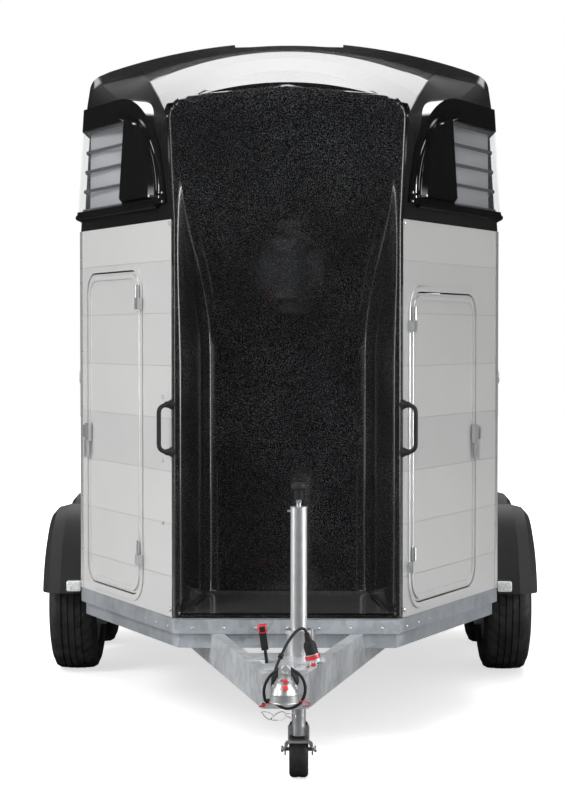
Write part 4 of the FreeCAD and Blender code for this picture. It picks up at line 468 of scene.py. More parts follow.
# Running gear: galvanised torsion axles with trailing arms, blue enamelled shock absorbers, and mudguards
# moulded in grained black plastic.
def grained_black(name="grained_black_plastic", low=0.012, high=0.024, scale=420, slot="black_matt"):
    """Injection-moulded plastic: fine leather grain, in cloudy greys."""
    f = Finish(name, slot)
    grain = f.cells(scale)
    cloud = f.noise(6, 3)
    colour = f.mix(cloud, (low, low, low * 1.05), (high, high, high * 1.03))
    f.surface(colour, grain * 0.15 + cloud * 0.1 + 0.42)
    f.shader.inputs["Specular IOR Level"].default_value = 0.25
    return f.bump(grain, 0.2, 0.0004)


def enamel(name, slot, dark, light, rough=0.3, coat=0.3):
    """Enamel or hard coloured plastic: slight mottling and orange peel."""
    f = Finish(name, slot)
    peel = f.noise(180, 2)
    f.surface(f.mix(f.noise(30, 3), dark, light), peel * 0.1 + rough, 0.0, coat)
    return f.bump(peel, 0.06, 0.0003)


matt_black = grained_black()
shock_blue = enamel("blue_enamel", "blue", (0.01, 0.11, 0.42), (0.02, 0.17, 0.55))
clad(hot_zinc, "axles")
clad(shock_blue, "shock_absorbers")
clad(matt_black, "mudguards")


# Wheels: road tyres on silver enamelled steel rims. The tread has five ribs with slanted grooves on a
# rounded carcass. Each rim has five bolts, a grease cap and a rubber valve.
def tread_rubber():
    """Tyre rubber: dark, matt, a little grey and dusty, with a fine grain."""
    f = Finish("tyre_rubber", "tyre")
    dust = f.noise(14, 4)
    fine = f.noise(300, 2)
    f.surface(f.mix(dust.rising(0.35, 0.8), (0.012, 0.012, 0.0125), (0.03, 0.03, 0.031)), fine * 0.15 + 0.55)
    return f.bump(fine, 0.25, 0.0005)


def wheel_enamel():
    """Silver wheel enamel with a light orange peel."""
    f = Finish("silver_wheel_enamel", "wheel_silver")
    peel = f.noise(120, 2)
    f.surface(f.mix(f.noise(5, 2), (0.48, 0.485, 0.49), (0.58, 0.585, 0.59)), peel * 0.08 + 0.3, 0.55, 0.2)
    return f.bump(peel, 0.05, 0.0004)


def new_mesh(name, points, faces, finish, body="chassis", sharp=None):
    """A mesh piece from point and face arrays, riding on a body."""
    mesh = bpy.data.meshes.new(name)
    mesh.from_pydata(np.asarray(points, float).reshape(-1, 3).tolist(), [], np.asarray(faces).tolist())
    mesh.shade_smooth()
    if sharp:
        mesh.set_sharp_from_angle(angle=math.radians(sharp))
    piece = bpy.data.objects.new(name, mesh)
    bpy.context.scene.collection.objects.link(piece)
    dress(piece, finish)
    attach(piece, body)
    return piece


def road_tyre(name, node, body):
    """A half profile from bead to shoulder, mirrored, with the ribs between, turned about the wheel's axle.
    A slanted groove is cut where a step's number plus 90 times the distance from the middle, in metres,
    divided by six leaves less than 1.2. The crown falls off with the square of that distance."""
    low, high = corner_of(node)
    centre = (low + high) / 2
    radius, width = (high[2] - low[2]) / 2, high[0] - low[0]
    seat = 0.1954
    steps, ribs = 216, 5
    half = width / 2
    groove = 0.0075
    tread_half = half * 0.80
    across = [
        (-0.0757, seat + 0.002), (-0.092, seat + 0.010), (-half + 0.004, seat + 0.028),
        (-half, radius * 0.78), (-half + 0.006, radius * 0.875), (-half + 0.013, radius * 0.935),
    ]
    shoulder = [(-tread_half - 0.004, radius - 0.0075), (-tread_half + 0.004, radius - 0.004)]
    edges = np.linspace(-tread_half + 0.012, tread_half - 0.012, ribs + 1)
    crown = []
    for k in range(ribs):
        a, b = edges[k] + (0.0035 if k else 0), edges[k + 1] - (0.0035 if k < ribs - 1 else 0)
        crown += [(a, radius), (a * 0.6 + b * 0.4, radius), (b, radius)]
        if k < ribs - 1:
            crown += [(b + 0.0012, radius - groove), (edges[k + 1] + 0.0023, radius - groove)]
    rising = across + shoulder
    profile = np.array(rising + crown + [(-a, r) for a, r in reversed(rising)])
    turn = np.linspace(0, 2 * np.pi, steps, endpoint=False)
    along = np.repeat(profile[None, :, 0], steps, 0)
    reach = np.repeat(profile[None, :, 1], steps, 0)
    slant = (np.arange(steps)[:, None] + np.abs(profile[None, :, 0]) * 90) % 6
    cut = (slant < 1.2) & (reach > radius * 0.93) & (np.abs(along) > tread_half * 0.22)
    reach = np.where(cut, reach - groove * 0.8, reach)
    crown_round = 0.006 * (np.clip(np.abs(along) / tread_half, 0, 1)) ** 2
    reach = np.where(reach > radius * 0.93, reach - crown_round, reach)
    points = np.stack([along, reach * np.cos(turn)[:, None], reach * np.sin(turn)[:, None]], -1) + centre
    faces = grid_faces(steps, len(profile), True, True)[:, ::-1]
    tyre = new_mesh(name, points, faces, tyre_rubber, body, 28)
    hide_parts(node)
    return tyre


tyre_rubber = tread_rubber()
wheel_silver = wheel_enamel()
wheel_places = [
    (where, side, key) for where in ("front", "rear") for side, key in ((-1, "left"), (1, "right"))
]
clad(tyre_rubber, *(f"tyre_{where}_{key}" for where, side, key in wheel_places))
clad(wheel_silver, *(f"rim_{where}_{key}" for where, side, key in wheel_places))
bolt_shape = [(0, 0.0115), (0.012, 0.0115), (0.015, 0.0095)]
bolt_ring, bolt_count = 0.056, 5
cap_shape = [(0, 0.031), (0.018, 0.030), (0.024, 0.026), (0.027, 0.016), (0.028, 0.004)]
stem_shape = [(0, 0.004), (0.030, 0.0035), (0.036, 0.0028)]
for where, side, key in wheel_places:
    wheel = f"wheel_{where}_{key}"
    road_tyre(f"road_tyre_{where}_{key}", f"tyre_{where}_{key}", wheel)
    low, high = corner_of(f"rim_{where}_{key}")
    centre = (low + high) / 2
    outer_face = corner_of(f"tyre_{where}_{key}")[1 if side > 0 else 0][0]
    hub = np.array((outer_face - 0.110 * side, centre[1], centre[2]))
    facing = (side, 0, 0)
    bolts = []
    for turn in np.arange(bolt_count) * 2 * np.pi / bolt_count + 0.3:
        place = hub + (0.014 * side, bolt_ring * math.cos(turn), bolt_ring * math.sin(turn))
        bolts.append(turned_part(bolt_shape, place, facing, 6))
    gathered(f"wheel_bolts_{where}_{key}", bolts, zinc_plate, wheel, 30)
    gathered(f"grease_cap_{where}_{key}", [turned_part(cap_shape, hub + (0.034 * side, 0, 0), facing, 36)],
             zinc_plate, wheel)
    valve = turned_part(stem_shape, hub + (0.020 * side, 0, 0.172), (side, 0, -0.25), 10)
    gathered(f"valve_{where}_{key}", [valve], matt_black, wheel)


# Floor: plywood faced with dark brown phenolic film, printed with a fine mesh, laid on the rail's flange
# and the cross members.
def ply_deck():
    """Film-faced plywood: dark brown phenolic film with a fine mesh print and scuffs."""
    f = Finish("film_faced_ply", "deck")
    mesh = f.cells(260, "Distance", (1, 1, 0.1))
    scuff = f.noise(9, 5, 0.7, (1, 0.3, 1)).rising(0.5, 0.8)
    f.surface(f.mix(scuff * 0.6, (0.04, 0.026, 0.018), (0.12, 0.09, 0.07)), mesh * 0.2 + 0.45)
    return f.bump(mesh, 0.3, 0.0006)


deck_film = ply_deck()
clad(deck_film, "floor_deck")


# Walls: satin anodised aluminium planks, tongued together, with extruded aluminium posts at the corners.
# Domed screws hold the left wall's inner frame and both walls' front edge.
def anodised():
    """Plank aluminium: pale satin grey with fine lines drawn along each plank. Five planks to the metre:
    the sine of 2.4 times a plank's number sets its tone, and a darker line marks each joint."""
    f = Finish("anodised_planks", "aluminium")
    drawn = f.noise(60, 4, 0.6, (0.15, 0.15, 9))
    cloud = f.noise(2.4, 2)
    height = (f.axis("Z") - 0.660) * 5
    plank = (height.math("FLOOR") * 2.4).math("SINE") * 0.5 + 0.5
    share = height.math("FRACT")
    joint = share.rising(0.022, 0.010) + share.rising(0.982, 0.992)
    tone = cloud * 0.35 + drawn * 0.30 + plank * 0.35
    colour = f.mix(joint * 0.16, f.mix(tone, (0.54, 0.545, 0.54), (0.70, 0.70, 0.69)), (0.30, 0.30, 0.30))
    f.surface(colour, drawn * 0.12 + 0.36, 0.3)
    return f.bump(drawn, 0.06, 0.0006)


def bright_edge():
    """Extruded aluminium trims: lighter and smoother than the planks."""
    f = Finish("aluminium_trim", "aluminium")
    drawn = f.noise(90, 3, 0.6, (0.2, 0.2, 4))
    return f.surface(f.mix(drawn, (0.66, 0.66, 0.66), (0.82, 0.82, 0.81)), drawn * 0.1 + 0.24, 0.7)


plank_aluminium = anodised()
trim = bright_edge()
clad(plank_aluminium, "side_walls", "angle_walls")
clad(trim, "corner_posts")
frame_screws = {"left": (1.342, 1.099, 0.860), "right": ()}
for side, key in ((-1, "left"), (1, "right")):
    places = [on_wall(side, 0.113, 0.001, z) for z in frame_screws[key]]
    places += [on_wall(side, 0.040, 0.001, z) for z in (2.00, 0.535)]
    screws_row(f"wall_fasteners_{key}", places, wall_facing[side], 0.0085, height=0.006)


# Side doors: leaves of the same planks with a pressed frame line. A bright bead and a dark rubber seal
# follow each door's rounded outline. The outline is the one of part.py: low edge, top, start and width
# along the wall.
door_low, door_corner = 0.545, 0.085
doors = {"left": (-1, 0.342, 0.602, 1.835), "right": (1, 0.099, 0.677, 1.745)}


def door_outline(side, start, width, top, grow, out, steps=9):
    """A rounded rectangle on an angled wall, grown from the door's opening: four quarter turns about its
    corners."""
    radius = door_corner + grow
    turn = np.linspace(0, np.pi / 2, steps)
    left, right = start + door_corner, start + width - door_corner
    low, high = door_low + door_corner, top - door_corner
    corners = [(right, high), (left, high), (left, low), (right, low)]
    along = np.concatenate([x + radius * np.cos(turn + k * np.pi / 2) for k, (x, z) in enumerate(corners)])
    height = np.concatenate([z + radius * np.sin(turn + k * np.pi / 2) for k, (x, z) in enumerate(corners)])
    return on_wall(side, along, out, height)


def door_line(name, door, grow, out, thick, finish, body="chassis"):
    """A round bead along a door's outline."""
    bead = swept(door_outline(*door, grow, out), round_section(thick, 8), True, (door[0], 0.2, 0.3))
    gathered(name, [bead], finish, body)


clad(plank_aluminium, "door_left", "door_right", "door_frames")
clad(zinc_plate, "door_hinges", "door_left_fittings", "door_right_fittings")
for key, door in doors.items():
    door_line(f"door_bead_{key}", door, 0.020, 0.0055, 0.0028, zinc_plate)
    door_line(f"door_rim_bead_{key}", door, -0.016, 0.0045, 0.0022, trim, f"{key}_door")
    door_line(f"door_seal_{key}", door, 0.002, 0.002, 0.0030, matt_black)


# The nose: one glass-fibre moulding in black gelcoat full of metal flakes. A deep recess lies between two
# round columns and fades out under the brow, a sloped satin ledge, painted in lighter greys for its sheen,
# closes its foot, and the top edge rounds over into the hood.
def flake_black(name="black_flake_gelcoat", gloss=0.09, shine=0.40, flanks=False):
    """Black gelcoat with metal flakes a few millimetres apart under a clear gloss. With flanks, the gloss
    ends at two straight lines over the hood: its creases, whose distance from the middle grows towards the
    back."""
    f = Finish(name, "black_flake")
    lucky = f.cells(640, "Color").rising(0.58, 0.95)
    spot = f.cells(640).rising(0.50, 0.14)
    patch = f.noise(3.2, 3).rising(0.3, 0.75)
    flake = lucky * spot * (patch * 0.7 + 0.4)
    colour = f.mix(flake, (0.004, 0.004, 0.0046), (shine, shine, shine * 1.04))
    coat = 1.0
    if flanks:
        y = f.axis("Y")
        crease = (y * 0.203 + 0.665).math("MINIMUM", y * 0.413 + 0.875)
        outside = (f.axis("X").math("ABSOLUTE") - crease).rising(-0.003, 0.004) * y.rising(-0.225, -0.245)
        coat = outside * -1.0 + 1.0
    f.surface(colour, flake * 0.15 + 0.5, flake * 0.5, coat)
    f.shader.inputs["Coat Roughness"].default_value = gloss
    f.shader.inputs["Specular IOR Level"].default_value = 0.08
    return f


def eased(x, low, high):
    """0 below low, 1 above high, smooth between."""
    t = np.clip((np.asarray(x, float) - low) / (high - low), 0, 1)
    return t * t * (3 - 2 * t)


def rounded_line(points, cuts, steps=8):
    """A polyline with each inner corner replaced by a quadratic curve that starts a cut before it."""
    points = np.asarray(points, float)
    out = [points[..., 0, :]]
    for i in range(1, points.shape[-2] - 1):
        before, here, after = points[..., i - 1, :], points[..., i, :], points[..., i + 1, :]
        arrive = np.linalg.norm(here - before, axis=-1, keepdims=True)
        leave = np.linalg.norm(after - here, axis=-1, keepdims=True)
        cut_in = np.minimum(cuts[i - 1], arrive * 0.48)
        cut_out = np.minimum(cuts[i - 1], leave * 0.48)
        start = here + (before - here) * cut_in / np.maximum(arrive, 1e-9)
        end = here + (after - here) * cut_out / np.maximum(leave, 1e-9)
        for t in np.linspace(0, 1, steps):
            out.append((1 - t) ** 2 * start + 2 * t * (1 - t) * here + t * t * end)
    out.append(points[..., -1, :])
    return np.stack(out, -2)


nose_gelcoat = flake_black()
clad(nose_gelcoat, "nose_shell")


def nose_moulding():
    """A cross section for each height, from the wall over a column to the middle of the recess, mirrored.
    The recess's depth falls to nothing under the brow and on the ledge. The top rows follow a circle's arc
    and roll back over it by a quarter turn."""
    rail_top, brow_edge, brow_top = nose_low[2], 2.460, nose_high[2]
    straight, recess_top = 1.40, 2.29
    mouth_foot, back_foot, depth_foot = 0.400, 0.316, 0.280
    ledge_front, ledge_back = rail_top + 0.013, rail_top + 0.060
    rows = 150
    z = np.concatenate([
        np.linspace(rail_top, ledge_front, 3, endpoint=False),
        np.linspace(ledge_front, ledge_back, 16, endpoint=False),
        np.linspace(ledge_back, brow_top, rows - 19),
    ])
    share = (z - straight) / (recess_top - straight)
    depth = depth_foot * (1 - eased(share, 0.15, 0.93))
    mouth = mouth_foot + 0.012 * eased(share, 0.0, 0.7)
    back = back_foot + 0.080 * eased(share, 0.1, 0.95)
    half = nose_half + 0.019 * np.clip((z - 2.015) / (brow_edge - 2.015), 0, 1.1)
    on_ledge = np.clip((z - ledge_front) / (ledge_back - ledge_front), 0, 1)
    open_mouth = 1 - eased(on_ledge, 0, 1.0)
    depth = depth * on_ledge
    back = back + (half - 0.034 - back) * (1 - on_ledge)
    mouth = mouth + (half - 0.012 - mouth) * open_mouth
    bulge = mouth - (mouth - back) * 0.42
    zero = np.zeros_like(z)
    half_line = np.stack([
        np.stack([half + 0.0123, zero + 0.025], -1),
        np.stack([half, zero], -1),
        np.stack([mouth, zero], -1),
        np.stack([bulge, depth * 0.30], -1),
        np.stack([back, depth], -1),
        np.stack([zero, depth], -1),
    ], -2)
    line = rounded_line(half_line, [0.010, 0.030, 0.090, 0.060], 11)
    line = np.concatenate([line[:, :-1], (line * (-1, 1))[:, ::-1]], 1)
    x, y = line[..., 0], line[..., 1]
    drop = 0.051
    sphere = (0.405 ** 2 + drop ** 2) / (2 * drop)
    arch = brow_top - sphere + np.sqrt(np.maximum(sphere ** 2 - x ** 2, 0))
    edge = np.clip((np.abs(x) - 0.395) / 0.050, 0, 1)
    arch = arch - 0.045 * (1 - np.sqrt(np.maximum(1 - edge ** 2, 0)))
    top = np.repeat(z[:, None], x.shape[1], 1)
    lip = 0.010
    spare = np.clip(top - (arch - lip), 0, None)
    turn = np.clip(spare / lip, 0, 1) * np.pi / 2
    height = np.where(top > arch - lip, arch - lip + lip * np.sin(turn), top)
    y = y_front + y + np.where(top > arch - lip, 0.014 * (1 - np.cos(turn)), 0)
    points = np.stack([x, y, height], -1)
    piece = new_mesh("nose_moulding", points, grid_faces(*x.shape), nose_gelcoat)
    clean = bmesh.new()
    clean.from_mesh(piece.data)
    bmesh.ops.remove_doubles(clean, verts=clean.verts, dist=1e-5)
    bmesh.ops.recalc_face_normals(clean, faces=clean.faces)
    if sum(face.normal.y * face.calc_area() for face in clean.faces) > 0:
        bmesh.ops.reverse_faces(clean, faces=clean.faces)
    clean.to_mesh(piece.data)
    clean.free()
    piece.data.shade_smooth()
    wall = piece.modifiers.new("wall", "SOLIDIFY")
    wall.thickness = 0.018
    wall.offset = -1
    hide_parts("nose_shell")
    return piece


def ledge_slope():
    """The ledge: narrower and higher towards the back. Two bell curves raise a small lip in front and a
    fillet at the back wall."""
    across = np.linspace(-1, 1, 41)
    back = np.linspace(0, 1, 17)
    u, v = np.meshgrid(across, back, indexing="xy")
    half = 0.409 - 0.082 * v ** 0.7
    x = u * half
    y = y_front + 0.004 + 0.262 * v
    z = nose_low[2] + 0.0150 + 0.0455 * v
    z = z + 0.010 * np.exp(-((v - 1.0) / 0.05) ** 2) + 0.004 * np.exp(-(v / 0.03) ** 2)
    return new_mesh("ledge_slope", np.stack([x, y, z], -1), grid_faces(17, 41), ledge_painted_sheen, "chassis", 40)


nose_moulding()
# Painted sheen: the ledge's greys, far above the gelcoat's black, stand in for the soft highlights on its
# slope.
ledge_painted_sheen = enamel(
    "black_ledge_painted_sheen", "black_flake", (0.030, 0.030, 0.031), (0.058, 0.058, 0.060), 0.16, 0.6,
)
ledge_slope()


# Grab handles: bent round bars in black plastic with swelling feet, screwed to the angled walls beside the
# nose.
clad(matt_black, "grab_handles")
grab_low, grab_high = corner_of("grab_handles")
grab_foot = [(0, 0.019), (0.006, 0.019), (0.014, 0.014), (0.030, 0.0105)]
grab_along, grab_out, grab_bend = 0.020, 0.055, 0.014
for side, key in ((-1, "left"), (1, "right")):
    low, high = grab_low[2] + 0.010, grab_high[2] - 0.010
    bend = np.array([(0, low), (0.030, low), (grab_out, low + grab_bend),
                     (grab_out, high - grab_bend), (0.030, high), (0, high)])
    bend = rounded_line(bend, [0.02, 0.02, 0.02, 0.02], 7)
    path = on_wall(side, grab_along, bend[:, 0], bend[:, 1])
    bar = swept(path, round_section(0.0085, 14), False, tuple(wall_ahead * (side, 1)) + (0,))
    ends = [on_wall(side, grab_along, 0.0, z) for z in (low, high)]
    feet = [turned_part(grab_foot, place, wall_facing[side], 20) for place in ends]
    handle = gathered(f"grab_bar_{key}", [bar, *feet], matt_black)
    if side < 0:
        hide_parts("grab_handles")


# The hood: a glass-fibre roof shell in the same gelcoat, polished inside its creases, its flakes painted
# dimmer than the nose's as painted shade. Its inside is a pale lining, partly painted light for the light
# through the roof, that shows through the windows and over the ramp.
def pale_liner_painted_light():
    """Pale glass-fibre lining inside the hood. Its pale grey is partly its own colour and partly painted
    light for the light that comes through the roof, as real gelcoat shells let it through.
    """
    f = Finish("pale_lining_painted_light", "black_flake")
    weave = f.noise(40, 3)
    f.surface(f.mix(weave, (0.36, 0.37, 0.39), (0.46, 0.47, 0.49)), weave * 0.1 + 0.5)
    return f


def hood_lining():
    """Seven cross sections from the nose to the rear, each a line over foot, side, bend, crease and crown,
    mirrored."""
    hood_high = corner_of("hood_shell")[1]
    inset = 0.036
    y = np.array([
        y_front + 0.05, y_front + 0.149, y_front + 0.40, y_front + 0.651, y_corner - 0.028, y_corner + 0.025,
        hood_high[1] - 0.01,
    ])
    foot = np.array([0.450, 0.500, 0.623, 0.747, 0.870, 0.885, 0.885]) - inset
    side_z = np.array([2.25, 2.20, 2.20, 2.25, 2.40, 2.42, 2.42])
    bend = np.array([
        (0.435, 2.39), (0.482, 2.34), (0.578, 2.40), (0.682, 2.47), (0.824, 2.623), (0.840, 2.644),
        (0.840, 2.644),
    ])
    bend = bend - (inset, inset * 0.7)
    crease = np.array([
        (0.415, 2.46), (0.463, 2.421), (0.517, 2.522), (0.567, 2.61), (0.614, 2.674), (0.70, 2.715),
        (0.70, 2.715),
    ])
    crease = crease - (inset * 0.5, inset)
    crown = np.array([2.55, 2.59, 2.672, 2.734, 2.78, 2.818, 2.80]) - inset
    zero = np.zeros_like(y)
    line = np.stack([
        np.stack([foot, zero + 2.03], -1), np.stack([foot - 0.004, side_z], -1), bend, crease,
        np.stack([crease[:, 0] * 0.5, crown - (crown - crease[:, 1]) * 0.25], -1),
        np.stack([zero, crown], -1),
    ], 1)
    line = np.concatenate([line[:, :-1], (line * (-1, 1))[:, ::-1]], 1)
    points = np.stack([line[..., 0], np.broadcast_to(y[:, None], line.shape[:2]), line[..., 1]], -1)
    lining = new_mesh("hood_lining", points, grid_faces(*line.shape[:2]), pale_lining_painted_light, "chassis", 50)
    return lining


# Painted shade: the hood's flakes are painted at 0.20, half the nose's 0.40, though both are one gelcoat.
hood_gelcoat_painted_shade = flake_black("black_flake_hood_painted_shade", 0.03, 0.20, flanks=True)
clad(hood_gelcoat_painted_shade, "hood_shell")
# Painted light: the lining's pale grey partly stands in for light through the roof.
pale_lining_painted_light = pale_liner_painted_light()
hood_lining()


# Window pods: acrylic surrounds in gloss black with stepped ridges along their arc, a chamfer up to a
# raised panel beside the window, a folded sill under it and small screws at the arc's foot. The panes are
# clear, the bars grey.
def gloss_black():
    """Moulded acrylic window surround: deep black, wet gloss, a faint ripple."""
    f = Finish("gloss_black_moulding", "black_gloss")
    ripple = f.noise(7, 2)
    f.surface(f.mix(ripple, (0.004, 0.004, 0.0045), (0.009, 0.009, 0.0095)), ripple * 0.03 + 0.03, 0.0, 0.6)
    return f.bump(ripple, 0.05, 0.002)


def clear_pane():
    """Clear acrylic window."""
    f = Finish("clear_acrylic", "clear")
    haze = f.noise(4, 2)
    f.surface(f.mix(haze, (0.30, 0.31, 0.32), (0.36, 0.37, 0.38)), haze * 0.02 + 0.02)
    f.put("Alpha", haze * 0.03 + 0.06)
    f.material.blend_method = "BLEND"
    return f


def grey_coat():
    """Dark grey powder coat on the window bars."""
    f = Finish("grey_powder_coat", "grille_grey")
    peel = f.noise(220, 2)
    f.surface(f.mix(f.noise(12, 2), (0.05, 0.052, 0.056), (0.085, 0.087, 0.092)), peel * 0.15 + 0.3, 0.3)
    return f.bump(peel, 0.08, 0.0004)


pod_low, pod_high, pod_reach, pod_lean = 2.065, 2.530, 0.94, 0.030


def pod_arc(share, turn):
    """Along the wall and height of an arc across the pod, a quarter of an ellipse: share 0 is near its
    outline, 1 the raised panel's edge."""
    reach, tall = wall_length * pod_reach, pod_high - pod_low
    along = wall_length - reach * (0.985 - 0.12 * share) + reach * (0.66 - 0.17 * share) * (1 - np.cos(turn))
    height = pod_low + tall * (0.04 + 0.03 * share) + tall * (0.88 - 0.11 * share) * np.sin(turn)
    return along, height


def on_pod(side, along, out, z):
    """A place on the pod, which leans inwards with height."""
    lean = pod_lean * (np.asarray(z) - pod_low) / (pod_high - pod_low)
    return on_wall(side, along, np.asarray(out) - lean, z)


def window_pod(side, name):
    """Ridges: a profile of (share across, height off the wall) carried along the pod's arc. The panel fills
    the arc's inside up to a fold beside the window, and the sill is a section carried along the wall and
    round the corner."""
    turn = np.linspace(0.03, 1.44, 72)
    steps = [
        (0.240, 0.0138), (0.262, 0.0196), (0.285, 0.0213), (0.415, 0.0213), (0.440, 0.0190), (0.465, 0.0150),
        (0.490, 0.0148), (0.508, 0.0192), (0.530, 0.0213), (0.650, 0.0213), (0.676, 0.0190), (0.700, 0.0150),
        (0.810, 0.0148), (0.845, 0.0172), (0.975, 0.0322), (1.00, 0.0334), (1.04, 0.0336),
    ]
    share, out = np.array(steps).T
    along, height = pod_arc(share[None], turn[:, None])
    flange = (on_pod(side, along, np.broadcast_to(out, along.shape), height), grid_faces(*along.shape))
    fold = 0.503
    edge_along, edge_height = pod_arc(1.04, turn)
    keep = edge_along < fold
    edge_along, edge_height = edge_along[keep], edge_height[keep]
    across = np.array([0, 0.25, 0.5, 0.75, 0.96, 1.0, 1.012, 1.02])
    rise = np.array([0.0336, 0.0340, 0.0342, 0.0340, 0.0336, 0.0325, 0.027, 0.012])
    panel_along = edge_along[:, None] + (fold - edge_along[:, None]) * across
    panel_out = np.broadcast_to(rise, panel_along.shape)
    panel_height = np.broadcast_to(edge_height[:, None], panel_along.shape)
    panel = (on_pod(side, panel_along, panel_out, panel_height), grid_faces(*panel_along.shape))
    low = np.linspace(0.150, wall_length + 0.006, 24)
    sill_front = on_wall(side, low, 0.0, 2.076)
    back = np.stack([np.full(10, body_half * side), np.linspace(y_corner + 0.02, y_corner + 0.33, 10),
                     np.full(10, 2.076)], -1)
    section = np.array([(0.004, -0.012), (0.014, -0.012), (0.021, -0.006), (0.022, 0.002), (0.018, 0.010),
                        (0.004, 0.014)])
    sill = swept(np.concatenate([sill_front, back]), section * (side, 1))
    return gathered(name, [flange, panel, sill], gloss_surround, "chassis", 25)


gloss_surround = gloss_black()
clad(gloss_surround, "window_surrounds")
clad(clear_pane(), "window_panes")
clad(grey_coat(), "window_grilles")
for side, key in ((-1, "left"), (1, "right")):
    window_pod(side, f"pod_ridges_{key}")
    foot = [on_wall(side, u, 0.015, z) for u, z in ((0.085, 2.118), (0.115, 2.120), (0.085, 2.085))]
    screws_row(f"pod_screws_{key}", foot, wall_facing[side], 0.0045, height=0.003)


# Rear: a galvanised portal carries the plank ramp and the gelcoat hatch on galvanised hinges. The tail
# lamps have a red, an amber and a white lens each.
def lens(name, slot, dark, light):
    """Moulded lamp lens: ribs of small prisms under a clear skin."""
    f = Finish(name, slot)
    prism = f.cells(190, "Distance")
    f.surface(f.mix(prism, dark, light), prism * 0.1 + 0.12, 0.0, 0.6)
    return f.bump(prism, 0.5, 0.0015)


def rounded_block(centre, size, rounding, turn=0.0, axis="Y", segments=3):
    """Points and faces of a block with rounded edges, turned about an axis: knobs, lamp bodies and
    buttons."""
    shape = bmesh.new()
    bmesh.ops.create_cube(shape, size=1)
    bmesh.ops.scale(shape, vec=size, verts=shape.verts)
    bmesh.ops.bevel(shape, geom=shape.edges, offset=rounding, segments=segments, profile=0.5, affect="EDGES")
    bmesh.ops.rotate(shape, matrix=Matrix.Rotation(turn, 3, axis), verts=shape.verts)
    bmesh.ops.translate(shape, vec=centre, verts=shape.verts)
    shape.verts.index_update()
    points = [tuple(v.co) for v in shape.verts]
    faces = [[v.index for v in face.verts] for face in shape.faces]
    shape.free()
    return points, faces


red_lens = lens("red_lens", "lamp_red", (0.30, 0.01, 0.01), (0.62, 0.03, 0.02))
amber_lens = lens("amber_lens", "lamp_clear", (0.55, 0.16, 0.01), (0.85, 0.30, 0.02))
clear_lens = lens("clear_lens", "lamp_clear", (0.85, 0.85, 0.85), (0.30, 0.31, 0.32))
clad(hot_zinc, "rear_portal", "rear_hinges")
clad(plank_aluminium, "ramp_panel")
clad(nose_gelcoat, "hatch_panel")
clad(red_lens, "tail_lamps")
tail_low, tail_high = corner_of("tail_lamps")
tail_z = (tail_low[2] + tail_high[2]) / 2
for side, key in ((-1, "left"), (1, "right")):
    for k, (finish, colour) in enumerate(((red_lens, "red"), (amber_lens, "amber"), (clear_lens, "white"))):
        place = ((tail_high[0] - 0.034 - 0.062 * k) * side, tail_high[1] + 0.002, tail_z)
        gathered(f"tail_{colour}_{key}", [rounded_block(place, (0.060, 0.010, 0.040), 0.003)], finish)


# Inside: a partition between the stalls, quilted in black vinyl over foam, and padded sleeves on the breast
# and rump bars.
def padding():
    """Black vinyl over foam: leather grain, a low sheen."""
    f = Finish("padded_vinyl", "padding")
    grain = f.cells(300, "Distance")
    crease = f.noise(18, 4)
    f.surface(f.mix(crease, (0.018, 0.018, 0.019), (0.04, 0.04, 0.042)), grain * 0.2 + 0.42)
    return f.bump(grain + crease * 0.5, 0.25, 0.0008)


vinyl = padding()
clad(vinyl, "partition", "stall_bars")


def partition_pad():
    """Two quilted sheets. Their swell rises from the edge as a square root, and the quilting is the product
    of a sine along the pad and a sine up it, taken without sign and to the power of 0.6."""
    low, high = corner_of("partition")
    rows, cols = 44, 120
    u = np.linspace(0, 1, cols)
    v = np.linspace(0, 1, rows)
    u, v = np.meshgrid(u, v, indexing="xy")
    start, end = low[1] + 0.08, high[1] - 0.08
    foot, top = 0.78, high[2] + 0.004
    quilt = 0.006 * (np.abs(np.sin(u * np.pi * 8)) * np.abs(np.sin(v * np.pi * 3))) ** 0.6
    edge = np.minimum(np.minimum(u, 1 - u) * 30, np.minimum(v, 1 - v) * 10)
    swell = np.sqrt(np.clip(edge, 0, 1)) * 0.018 + quilt * np.clip(edge, 0, 1)
    sheets = []
    for side in (-1, 1):
        bulge = side * (0.0205 + swell * 0.45)
        points = np.stack([bulge, start + u * (end - start), foot + v * (top - foot)], -1)
        sheets.append((points, grid_faces(rows, cols)[:, ::side]))
    pad = gathered("partition_pad", sheets, vinyl, "chassis", 60)
    return pad


partition_pad()
bars_low, bars_high = corner_of("stall_bars")
bar_z = (bars_low[2] + bars_high[2]) / 2
bar_radius = (bars_high[2] - bars_low[2]) / 2
sleeve_shape = [(0.0, 0.6), (0.006, 0.9), (0.02, 1.12), (0.10, 1.2), (0.35, 1.22), (0.60, 1.2), (0.68, 1.12),
                (0.694, 0.9), (0.70, 0.6)]
sleeve = [(along, share * bar_radius) for along, share in sleeve_shape]
for where, bar_y in (("breast", bars_low[1] + bar_radius), ("rump", bars_high[1] - bar_radius)):
    for side, key in ((-1, "left"), (1, "right")):
        wrap = turned_part(sleeve, (0.08 * side, bar_y, bar_z), (side, 0, 0), 28)
        pad = gathered(f"{where}_pad_{key}", [wrap], vinyl)


